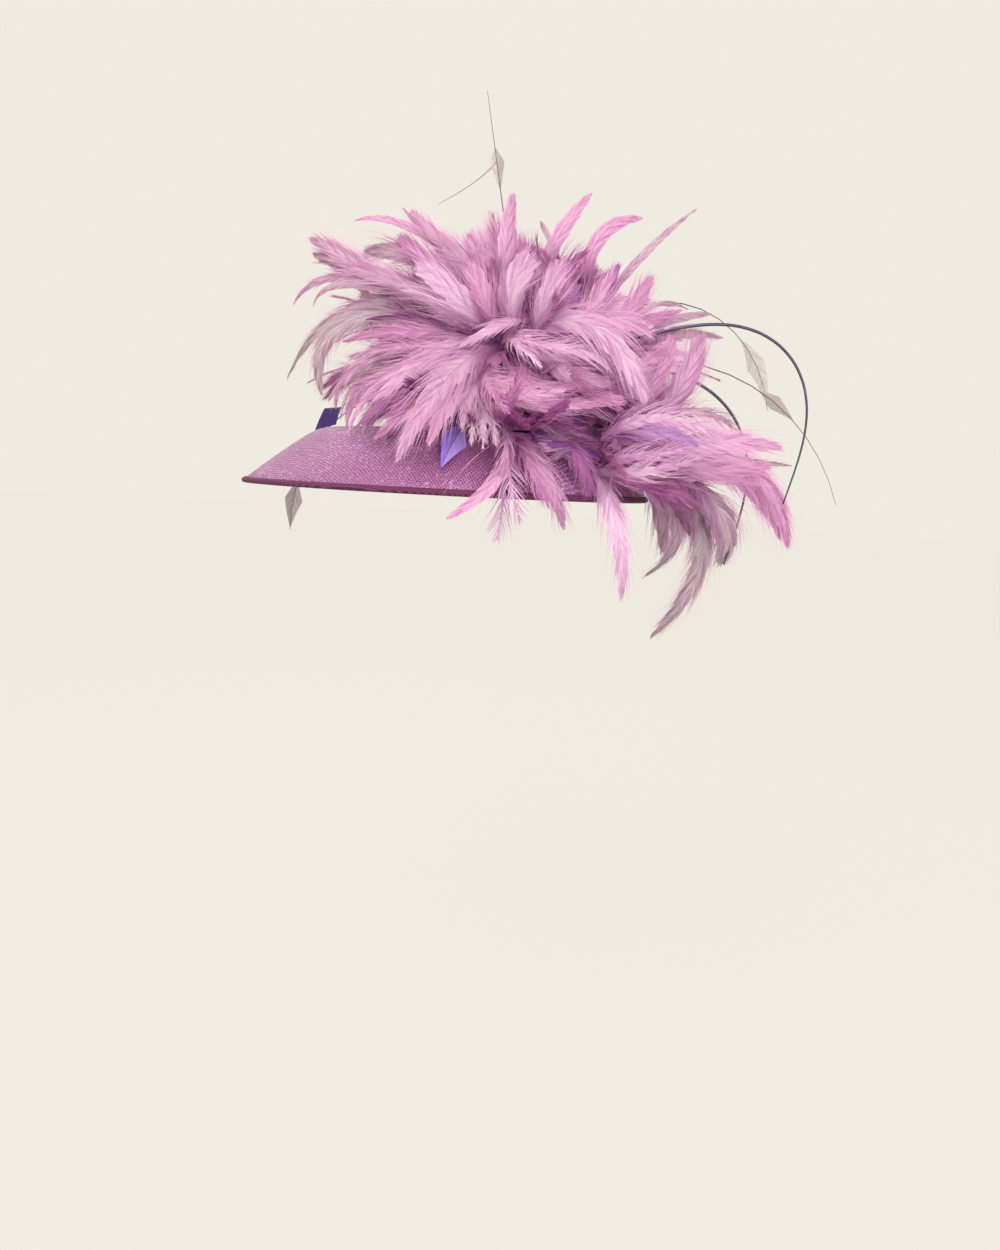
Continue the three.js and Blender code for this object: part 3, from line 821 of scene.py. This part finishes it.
PLUMES = {}
PLUMES["left_top"] = plumes(
    ((405, 300), (352, 262), (310, 238), -10, 12, PLUME, 0.6, 0.25),
    ((445, 252), (398, 222), (353, 221), 10, 4, BLADE, 0.7),
    ((478, 268), (440, 240), (411, 210), 0, 9, PLUME, 0.75),
    ((480, 275), (438, 243), (402, 207), -10, 4, BLADE, 0.5, 0.3),
    ((435, 275), (398, 252), (364, 254), -15, 12, PLUME, 0.4, 0.5),
    ((420, 302), (360, 272), (313, 254), -24, 12, PLUME, 0.3, 0.55),
    ((425, 292), (337, 277), (293, 306), -5, 6, PLUME, 0.7, 0.3),
    ((425, 300), (346, 284), (313, 307), 5, 4.5, BLADE, 0.6, 0.45),
    ((440, 305), (345, 312), (287, 380), -20, 9, PLUME, 0.5, 0.8),
    ((440, 315), (340, 326), (322, 396), -15, 13, PLUME, 0.5, 0.75),
    ((455, 312), (385, 276), (335, 270), 10, 13, PLUME, 0.74),
    ((482, 305), (432, 265), (400, 236), 8, 15, PLUME, 0.66),
    ((490, 345), (448, 306), (395, 286), 15, 11, PLUME, 0.86, 0.2),
    ((495, 300), (464, 262), (436, 244), 5, 14, PLUME, 0.78),
)
PLUMES["left_mid"] = plumes(
    # painted shade: the next three plumes are dyed near the deepest tone and set behind pale ones where the
    # mass lies in shade
    ((475, 342), (420, 320), (365, 320), -5, 8, PLUME, 0.08),
    ((446, 372), (404, 390), (364, 426), -24, 14, PLUME, 0.16),
    ((452, 384), (420, 404), (388, 438), -16, 13, PLUME, 0.1),
    ((482, 345), (418, 330), (342, 342), 0, 9, PLUME, 0.5),
    ((480, 350), (410, 345), (348, 361), 8, 9, FLUFF, 0.7),
    ((445, 355), (380, 384), (348, 437), 8, 4.5, BLADE, 0.75),
    ((470, 358), (415, 372), (356, 406), 0, 12, PLUME, 0.6),
    ((455, 370), (404, 390), (356, 428), -6, 10, PLUME, 0.38),
    ((462, 378), (420, 402), (374, 440), -4, 11, PLUME, 0.5),
    ((470, 384), (440, 410), (398, 440), -2, 11, PLUME, 0.32),
    ((420, 360), (356, 374), (336, 410), -20, 8, PLUME, 0.45, 0.5),
    ((404, 366), (360, 380), (341, 420), -24, 7, FLUFF, 0.5, 0.85),
    ((415, 372), (366, 384), (347, 428), -16, 10, PLUME, 0.45, 0.3),
    ((430, 384), (385, 398), (362, 434), -14, 9, PLUME, 0.35, 0.1),
    ((475, 365), (430, 388), (384, 418), -5, 11, PLUME, 0.4),
    ((476, 350), (432, 360), (350, 388), 6, 10, PLUME, 0.62),
    ((450, 330), (380, 350), (328, 402), -10, 8, PLUME, 0.5, 0.4),
)
PLUMES["front_left"] = plumes(
    ((496, 342), (458, 296), (418, 268), 24, 15, PLUME, 0.97),
    ((500, 344), (448, 376), (396, 462), 24, 15, PLUME, 0.84),
    ((492, 352), (455, 392), (428, 446), 20, 13, PLUME, 0.8),
    ((486, 344), (440, 352), (372, 402), 18, 12, PLUME, 0.82),
    ((488, 360), (470, 392), (462, 430), 20, 9, PLUME, 0.72, 0.2),
    ((502, 342), (486, 300), (470, 264), 14, 13, PLUME, 0.66),
    ((500, 346), (482, 312), (484, 280), 16, 8, FLUFF, 0.35, 0.0, 0.45),
    ((500, 338), (466, 322), (410, 322), 16, 11, PLUME, 0.78),
)
PLUMES["top_front"] = plumes(
    ((506, 300), (507, 245), (514, 193), -5, 8, BLADE, 0.7, 0.1),
    ((538, 292), (557, 240), (592, 193), -5, 7, BLADE, 0.72),
    ((560, 262), (548, 236), (540, 221), -10, 3, BLADE, 0.5, 0.6),
    ((518, 338), (512, 295), (532, 256), 24, 17, PLUME, 0.93),
    ((532, 345), (546, 300), (562, 264), 16, 15, PLUME, 0.82),
    ((556, 336), (558, 300), (568, 264), 12, 7, PLUME, 0.25, 0.0, 0.3),
    ((536, 346), (580, 320), (612, 270), 16, 11, PLUME, 0.72),
    ((500, 300), (490, 268), (478, 250), 0, 13, PLUME, 0.66, 0.15),
)
PLUMES["top_right"] = plumes(
    ((585, 292), (601, 236), (643, 218), -5, 7, BLADE, 0.64),
    ((598, 310), (645, 253), (698, 208), 0, 4, BLADE, 0.5, 0.6),
    ((572, 350), (596, 310), (619, 264), 14, 9, PLUME, 0.3, 0.0, 0.4),
    ((562, 350), (612, 328), (652, 276), 10, 13, PLUME, 0.64),
    ((572, 346), (628, 326), (682, 310), 0, 9, PLUME, 0.56),
    ((650, 330), (680, 318), (712, 314), -20, 4, BLADE, 0.5, 0.75),
    ((630, 322), (660, 304), (688, 310), -15, 5, PLUME, 0.5, 0.75),
)
PLUMES["front_mid"] = plumes(
    ((474, 344), (500, 388), (566, 390), 70, 11, PLUME, 0.9),
    ((534, 316), (502, 324), (458, 348), 36, 8, PLUME, 0.9),
    ((505, 324), (534, 342), (572, 350), 36, 8, FLUFF, 0.96),
    ((516, 352), (532, 380), (580, 386), 8, 10, PLUME, 0.62),
    ((506, 356), (520, 388), (552, 408), 4, 12, PLUME, 0.62),
    ((536, 352), (566, 372), (612, 384), 14, 11, PLUME, 0.76),
    ((512, 344), (556, 352), (606, 352), 14, 12, PLUME, 0.92),
    ((500, 330), (520, 346), (542, 368), 34, 8, FLUFF, 1.0),
    ((516, 340), (590, 326), (646, 404), 40, 15, PLUME, 1.0),
    ((540, 336), (600, 318), (652, 336), 20, 13, PLUME, 0.86),
    ((530, 350), (580, 350), (612, 372), 24, 12, PLUME, 0.9),
    ((560, 372), (604, 384), (634, 420), 6, 10, PLUME, 0.3, 0.0, 0.25),
    ((505, 396), (548, 404), (600, 404), 14, 9, PLUME, 0.74),
    ((500, 376), (520, 400), (560, 412), 10, 8, PLUME, 0.62),
    ((486, 376), (474, 400), (462, 432), 16, 8, FLUFF, 0.78),
    ((480, 362), (490, 388), (510, 414), 64, 9, FLUFF, 0.74),
)
PLUMES["right"] = plumes(
    ((640, 430), (680, 390), (702, 336), 16, 18, PLUME, 0.82),
    ((622, 425), (655, 380), (672, 338), 16, 14, PLUME, 0.68),
    ((600, 420), (636, 392), (648, 362), 6, 7, PLUME, 0.35, 0.0, 0.25),
    ((640, 346), (680, 334), (723, 338), -40, 8, PLUME, 0.5, 0.55),
    ((650, 420), (700, 412), (738, 432), -20, 9, FLUFF, 0.45, 0.6),
    ((606, 366), (650, 334), (702, 317), 26, 0.9, STRAND, 1.0, 0.3),
    ((632, 352), (664, 330), (714, 323), 20, 0.8, STRAND, 1.0, 0.3),
    ((634, 402), (648, 376), (668, 346), 30, 0.9, STRAND, 1.0),
    ((620, 396), (646, 366), (652, 340), 26, 0.7, STRAND, 1.0),
    ((646, 410), (668, 372), (700, 352), 30, 0.8, STRAND, 1.0),
    ((590, 400), (632, 372), (668, 350), 14, 10, PLUME, 0.7),
)
PLUMES["right_low"] = plumes(
    ((600, 442), (650, 420), (722, 436), 20, 12, FLUFF, 0.96),
    ((620, 464), (702, 444), (782, 448), 10, 15, PLUME, 0.82),
    ((640, 470), (708, 470), (770, 466), 6, 15, PLUME, 0.76),
    ((672, 462), (752, 474), (788, 547), 12, 17, PLUME, 0.7),
    ((680, 460), (744, 482), (780, 540), 12, 12, PLUME, 0.78),
    ((606, 444), (650, 432), (698, 446), 34, 9, PLUME, 0.95, 0.0, 0.62),
    ((598, 462), (642, 456), (692, 448), 24, 8, FLUFF, 0.8, 0.0, 0.15),
    # painted shade: a plume dyed near the deepest tone, filling the shaded hollow next to the brim
    ((596, 462), (634, 482), (668, 486), 0, 9, PLUME, 0.16),
    ((590, 470), (642, 472), (702, 458), 18, 9, FLUFF, 0.92),
    ((684, 458), (750, 462), (792, 466), -10, 5, PLUME, 0.5, 0.7),
    ((590, 456), (617, 530), (621, 600), 16, 10.5, PLUME, 1.0),
)
PLUMES["right_fall"] = plumes(
    ((640, 478), (678, 530), (645, 576), 0, 13, PLUME, 0.5, 0.62),
    ((660, 480), (702, 552), (650, 638), -15, 14, PLUME, 0.55, 0.7),
    ((676, 480), (722, 518), (720, 564), -10, 17, PLUME, 0.55, 0.65),
    ((646, 478), (660, 512), (664, 552), 6, 12, PLUME, 0.45, 0.5),
    ((666, 476), (698, 512), (700, 564), -12, 16, PLUME, 0.55, 0.7),
    ((682, 476), (706, 504), (720, 552), 10, 7, PLUME, 0.4, 0.2),
)
PLUMES["front_low"] = plumes(
    ((510, 440), (494, 480), (446, 519), 16, 6.5, BLADE, 0.8),
    ((507, 446), (504, 494), (497, 540), 14, 12, SPIKY, 0.85, 0.1, 0.15),
    ((509, 448), (511, 486), (521, 522), 18, 12, SPIKY, 0.95, 0.1, 0.1),
    ((516, 436), (546, 478), (564, 529), 14, 9, PLUME, 0.74, 0.12),
    ((515, 436), (532, 470), (549, 508), 18, 7, FLUFF, 0.66),
    ((556, 440), (580, 462), (588, 496), 10, 8, PLUME, 0.3, 0.0, 0.05),
    # painted shade: the next two plumes are dyed near the deepest tone for the shaded core under the front
    # plumes
    ((520, 402), (545, 418), (584, 432), 2, 9, PLUME, 0.02),
    ((530, 432), (560, 446), (602, 456), 4, 9, PLUME, 0.05, 0.0, 0.4),
    ((504, 420), (506, 446), (500, 476), 14, 6, FLUFF, 0.7),
    ((500, 440), (470, 462), (442, 496), 20, 0.7, STRAND, 1.0),
    ((508, 436), (530, 452), (566, 470), 22, 0.7, STRAND, 1.0),
    ((505, 445), (488, 480), (478, 520), 20, 0.6, STRAND, 1.0),
    ((484, 388), (476, 414), (471, 446), 26, 8, FLUFF, 1.0, 0.4),
    ((488, 386), (484, 414), (483, 450), 28, 8, FLUFF, 1.0, 0.35),
    ((492, 388), (492, 416), (496, 447), 26, 8, FLUFF, 0.95, 0.3),
)


hair_spread = 1.25  # of the vane's width
hair_pale = 0.35
shaft_thickness = 1.2

# How plumes grow behind the pictured ones, and alone in a spray that has none of those: the rounds of the
# fan, the share of the usual length, how much deeper the dye is made as painted shade for lying behind, how
# far they keep from the camera, and the least and the most that fillers lean.
Growth = namedtuple("Growth", "rounds fan_length filler_length deeper behind least most")
BEHIND = Growth(rounds=1, fan_length=0.46, filler_length=0.8, deeper=0.12, behind=14.0, least=62, most=86)
ALONE = Growth(rounds=4, fan_length=1.0, filler_length=1.0, deeper=0.0, behind=0.0, least=40, most=80)
filler_count = 16
filler_patch = 44  # radius that fillers spring from
round_stray = 14.0  # degrees that the fan's later rounds stray
fluff_share = 0.3
purple_share = 0.07


def scatter(k, step):
    return (k * step + 0.37) % 1


def add_feather(mesh, run, half_width, kind, dye, rng):
    mesh.feathers += 1
    add_shaft(mesh, run, shaft_thickness, dye)
    add_web(mesh, run, half_width, kind, dye, rng)
    add_barbs(mesh, run, half_width, kind, dye, rng)
    if kind in (PLUME, FLUFF):
        add_barbs(mesh, run, half_width * hair_spread, HAIRS, dye + (pale - dye) * hair_pale, rng)


def tangents(facing):
    aside = up if abs(facing[2]) < 0.9 else np.array([1.0, 0.0, 0.0])
    first = unit(np.cross(facing, aside))
    return first, np.cross(facing, first)


def add_pictured(mesh, spray, facing, rng):
    for plume in PLUMES.get(spray.name, []):
        shown = unit(to_camera + 0.5 * facing)
        run = Run(picture_points(plume), shown, roll=rng.uniform(-25, 25), twist=rng.normal(0, 14))
        dye = dye_of(plume.tone + rng.normal(0, 0.03), min(1.0, plume.dust + spray.dust), plume.purple)
        if plume.kind is STRAND:
            add_shaft(mesh, run, plume.half, dye)
        else:
            add_feather(mesh, run, plume.half, plume.kind, dye, rng)


def add_fan(mesh, spray, growth, point, facing, outward, rng):
    """Plumes that spread from the spray's middle as the spray's row says."""
    root = point + facing * (head_thickness / 2 - head_sink)
    first, second = tangents(facing)
    level = max(0.4, math.cos(math.radians(spray.lift)))
    for k in range(fan_count * growth.rounds):
        fan = k % fan_count
        lean = spray.spread * math.sqrt((fan + 0.5) / fan_count)
        turn = math.radians(fan * golden_turn)
        stray = 0.0 if k < fan_count else round_stray
        start = root + first * rng.normal(0, 10) + second * rng.normal(0, 10) - facing * rng.uniform(0, 12)
        start = start - to_camera * growth.behind
        points = swept_points(
            start,
            spray.aim + (lean * math.cos(turn) + rng.normal(0, stray)) / level,
            spray.lift + lean * math.sin(turn) + rng.normal(0, stray),
            feather_length * spray.reach * growth.fan_length * (0.72 + 0.28 * scatter(k, 0.618)),
            droop=spray.droop * (0.5 + scatter(k, 0.755)),
            swirl=feather_swirl * (2 * scatter(k, 0.57) - 1) * 1.6,
        )
        run = Run(points, outward, roll=120 * scatter(k, 0.414) - 60, twist=rng.normal(0, 35))
        # painted shade: plumes behind the pictured ones are dyed deeper
        tone = spray.tone - growth.deeper + rng.normal(0, 0.12)
        dye = dye_of(tone, spray.dust * rng.random() * 1.5, 0.2 * (rng.random() > 1 - purple_share))
        kind = FLUFF if rng.random() < fluff_share else PLUME
        add_feather(mesh, run, feather_width * rng.uniform(0.4, 0.6), kind, dye, rng)


def add_fillers(mesh, spray, growth, point, facing, outward, rng):
    """Short fluff that lies round the spray's root and hides the cloth."""
    first, second = tangents(facing)
    for k in range(filler_count):
        turn = math.radians(k * golden_turn)
        spot = math.sqrt((k + 0.5) / filler_count) * filler_patch
        tangent = first * math.cos(turn) + second * math.sin(turn)
        start = point + tangent * spot + facing * rng.uniform(0, 8) - to_camera * growth.behind * 0.4
        lean = math.radians(rng.uniform(growth.least, growth.most))
        way = unit(facing * math.cos(lean) + tangent * math.sin(lean) + rng.normal(0, 0.3, 3))
        points = swept_points(
            start,
            math.degrees(math.atan2(way[0], -way[1])),
            math.degrees(math.asin(way[2])),
            rng.uniform(0.33, 0.53) * feather_length * growth.filler_length,
            droop=rng.uniform(0, 40),
            swirl=rng.normal(0, 34),
        )
        run = Run(points, unit(facing + outward), roll=rng.uniform(-40, 40), twist=rng.normal(0, 35))
        # painted shade: fillers lie low round the root, so they are dyed a tenth deeper, and deeper again
        # behind pictured plumes
        tone = spray.tone - 0.1 - growth.deeper + rng.normal(0, 0.14)
        dye = dye_of(tone, spray.dust, 0.4 * (rng.random() > 1 - purple_share))
        add_feather(mesh, run, feather_width * rng.uniform(0.5, 0.7), FLUFF, dye, rng)


def make_spray(spray, seed):
    rng = np.random.default_rng(seed)
    mesh = FeatherMesh(f"feathers_{spray.name}")
    point, facing = seat_on(spray.bearing, spray.seat)
    outward = unit(direction(spray.bearing) + facing)
    growth = BEHIND if spray.name in PLUMES else ALONE
    add_pictured(mesh, spray, facing, rng)
    add_fan(mesh, spray, growth, point, facing, outward, rng)
    add_fillers(mesh, spray, growth, point, facing, outward, rng)
    return mesh.mesh()


first_seed = 40
for number, spray in enumerate(SPRAYS):
    mesh = make_spray(spray, first_seed + number)
    finish_piece(f"feathers_{spray.name}", mesh, hackle, [f"spray_{spray.name}"])


# Bare quills

Quill = namedtuple("Quill", "name bearing seat aim lift reach droop straight")
QUILLS = [
    Quill("upper", 15, 0.55, 38, -45, 2.12, 118, 0.13),
    Quill("lower", 12, 0.68, 50, -53, 1.87, 103, 0.0),
]
quill_sides = 10
quill_rings = 64


def make_quill(row):
    point, _ = seat_on(row.bearing, row.seat)
    points = swept_points(
        point, row.aim, row.lift, feather_length * row.reach,
        droop=row.droop, straight=row.straight, eased=True,
    )
    run = Run(points, to_camera)
    turns = np.linspace(0, 2 * np.pi, quill_sides, endpoint=False)
    rings = []
    for share in np.linspace(0, 1, quill_rings):
        radius = quill_thickness / 2 * (1 - quill_taper * share**1.5)
        distance = np.full(quill_sides, share * run.length)
        rings.append(run.place(distance, radius * np.cos(turns), radius * np.sin(turns)))
    return swept_mesh(f"bare_quill_{row.name}", rings, capped=True)


for row in QUILLS:
    mesh = make_quill(row)
    finish_piece(mesh.name, mesh, quill_horn, [f"quill_{row.name}"])


# Feathers trimmed to arrowheads

Arrow = namedtuple("Arrow", "name bearing seat aim lift reach droop long wide widest tail left right")
# The last two columns colour the arrowhead's two halves; the step of tone between them is painted light and
# shade, as the halves face the light differently.
ARROWS = [
    Arrow("top", -45, 0.1, -174, 76.3, 1.37, 0, 41, 14, 0.66, 51, "#aaa39e", "#bdb6b0"),
    Arrow("front", -50, 0.95, -71, -30.7, 0.82, 53, 50, 22, 0.36, 2, "#a68cea", "#b79ce2"),
    Arrow("side", -120, 0.8, -156, -25, 0.9, 40, 38, 19, 0.42, 2, "#46327a", "#57428c"),
    Arrow("hanging", -150, 0.9, -166, -40, 1.68, 100, 55, 20, 0.42, 2, "#a09a98", "#b4adaa"),
    Arrow("right_high", 15, 0.5, 65, -13, 1.7, 130, 74, 20, 0.42, 2, "#bcbcb4", "#c9c8c0"),
    Arrow("right_low", 18, 0.72, 57, -24, 2.0, 90, 46, 14, 0.42, 95, "#aaa59f", "#bab4ad"),
]
trim_angle = math.radians(36)
trim_barbs = 48
trim_overlap = 0.62  # of the way from one barb to the next, to both sides
trim_shaft_thickness = 1.5
trim_shaft_dye = np.array(linear("#6b5b70"))

# A long stray barb that curls away from the top arrowhead's shaft, and the pixels of its middle and tip
wisp_middle = (473, 183)
wisp_tip = (438, 204)
wisp_thickness = 1.3


def add_arrowhead(mesh, run, row):
    """Short barbs on both sides of the shaft, each cut off where it meets the arrowhead's outline."""
    end = run.length - row.tail
    start = end - row.long
    widest = start + row.widest * row.long
    slope = math.tan(trim_angle)
    opening = row.wide / 2 / (widest - start)
    closing = row.wide / 2 / (end - widest)
    begins = start + row.long * (np.arange(trim_barbs) + 0.5) / trim_barbs
    meets_opening = (slope * begins - opening * start) / (slope - opening)
    meets_closing = (closing * end + slope * begins) / (slope + closing)
    reach = (np.minimum(meets_opening, meets_closing) - begins)[:, None]
    t = strip_along[None, :]
    half = row.long / trim_barbs * trim_overlap * strip_edge[None, :] * (1 - 0.25 * t)
    # painted light and shade: one half of each arrowhead is coloured a step lighter than the other
    for sign, colour in ((-1, row.left), (1, row.right)):
        distance = begins[:, None] + reach * t - math.sin(trim_angle) * half
        across = sign * (reach * slope * t + math.cos(trim_angle) * half)
        rise = -0.012 * across**2 + 0.12 * strip_edge[None, :] * sign
        points = run.place(distance.ravel(), across.ravel(), rise.ravel())
        strand = np.repeat(begins, len(strip_along)) + far_side * (sign > 0)
        along = np.full(len(points), 0.8)
        mesh.add(points, np.array(linear(colour)), along, strand, 0 * strand, repeated_faces(trim_barbs))


def add_wisp(mesh, run, row):
    springs = np.array([run.length - row.tail - row.long / 3])
    root = run.place(springs, np.zeros(1), np.zeros(1))[0]
    near = root @ to_camera
    curl = arched(root, picture_point(*wisp_middle, near), picture_point(*wisp_tip, near))
    add_shaft(mesh, Run(curl, to_camera), wisp_thickness, np.array(linear(row.left)), thin=0.4)


for row in ARROWS:
    point, _ = seat_on(row.bearing, row.seat)
    points = swept_points(point, row.aim, row.lift, feather_length * row.reach, droop=row.droop)
    run = Run(points, to_camera)
    name = f"trimmed_feather_{row.name}"
    mesh = FeatherMesh(name)
    add_shaft(mesh, run, trim_shaft_thickness, trim_shaft_dye, thin=0.3)
    add_arrowhead(mesh, run, row)
    if row.name == "top":
        add_wisp(mesh, run, row)
    finish_piece(name, mesh.mesh(), trimmed, [f"arrowhead_{row.name}"])


# Floor, light and camera, in metres

backdrop = "#f0ebe0"
floor_depth = 0.62
Light = namedtuple("Light", "name bearing lift distance size power colour")
LIGHTS = [
    Light("key", -72, 48, 2.2, 1.6, 46, "#fffaf2"),
    Light("fill", -34, 6, 2.4, 2.0, 54, "#faf6ff"),
    Light("back", 150, 40, 2.4, 1.6, 26, "#fff6f0"),
]


def make_stage():
    work = bmesh.new()
    bmesh.ops.create_circle(work, cap_ends=True, segments=64, radius=14.0)
    bmesh.ops.translate(work, vec=(0, 0, -floor_depth), verts=work.verts)
    mesh = bpy.data.meshes.new("pale_floor")
    work.to_mesh(mesh)
    work.free()
    material, tree = new_material("matt floor paint")
    glow = {"Emission_Color": rgba(backdrop), "Emission_Strength": 0.97}
    shader = principled(tree, rgba("#262524"), 1.0, Specular_IOR_Level=0.0, **glow)
    set_surface(tree, shader)
    mesh.materials.append(material)
    floor = bpy.data.objects.new("pale_floor", mesh)
    bpy.context.scene.collection.objects.link(floor)


def add_light(row):
    data = bpy.data.lights.new(row.name, "AREA")
    data.shape = "DISK"
    data.size = row.size
    data.energy = row.power
    data.color = linear(row.colour)
    light = bpy.data.objects.new(row.name, data)
    light.location = direction(row.bearing, row.lift) * row.distance
    light.rotation_euler = (-light.location).to_track_quat("-Z", "Y").to_euler()
    bpy.context.scene.collection.objects.link(light)


def make_camera():
    pitch, roll = math.radians(camera_pitch), math.radians(camera_roll)
    right = direction(shown_bearing + 90)
    forward = -to_camera * math.cos(pitch) - up * math.sin(pitch)
    above = np.cross(right, forward)
    rolled_right = right * math.cos(roll) + above * math.sin(roll)
    rolled_above = above * math.cos(roll) - right * math.sin(roll)
    place = (to_camera * camera_far + up * camera_height) * metre
    columns = [rolled_right, rolled_above, -forward]
    rows = [[float(column[k]) for column in columns] + [float(place[k])] for k in range(3)]
    sensor = 36
    data = bpy.data.cameras.new("camera")
    data.lens = camera_focal / picture_height * sensor
    data.sensor_width = sensor
    camera = bpy.data.objects.new("camera", data)
    camera.matrix_world = Matrix(rows + [[0, 0, 0, 1]])
    bpy.context.scene.collection.objects.link(camera)
    bpy.context.scene.camera = camera


def make_world():
    world = bpy.data.worlds.new("studio")
    world.use_nodes = True
    background = world.node_tree.nodes["Background"]
    background.inputs["Color"].default_value = rgba(backdrop)
    background.inputs["Strength"].default_value = 1.0
    bpy.context.scene.world = world


make_stage()
for row in LIGHTS:
    add_light(row)
make_camera()
make_world()
bpy.context.scene.view_settings.view_transform = "Standard"
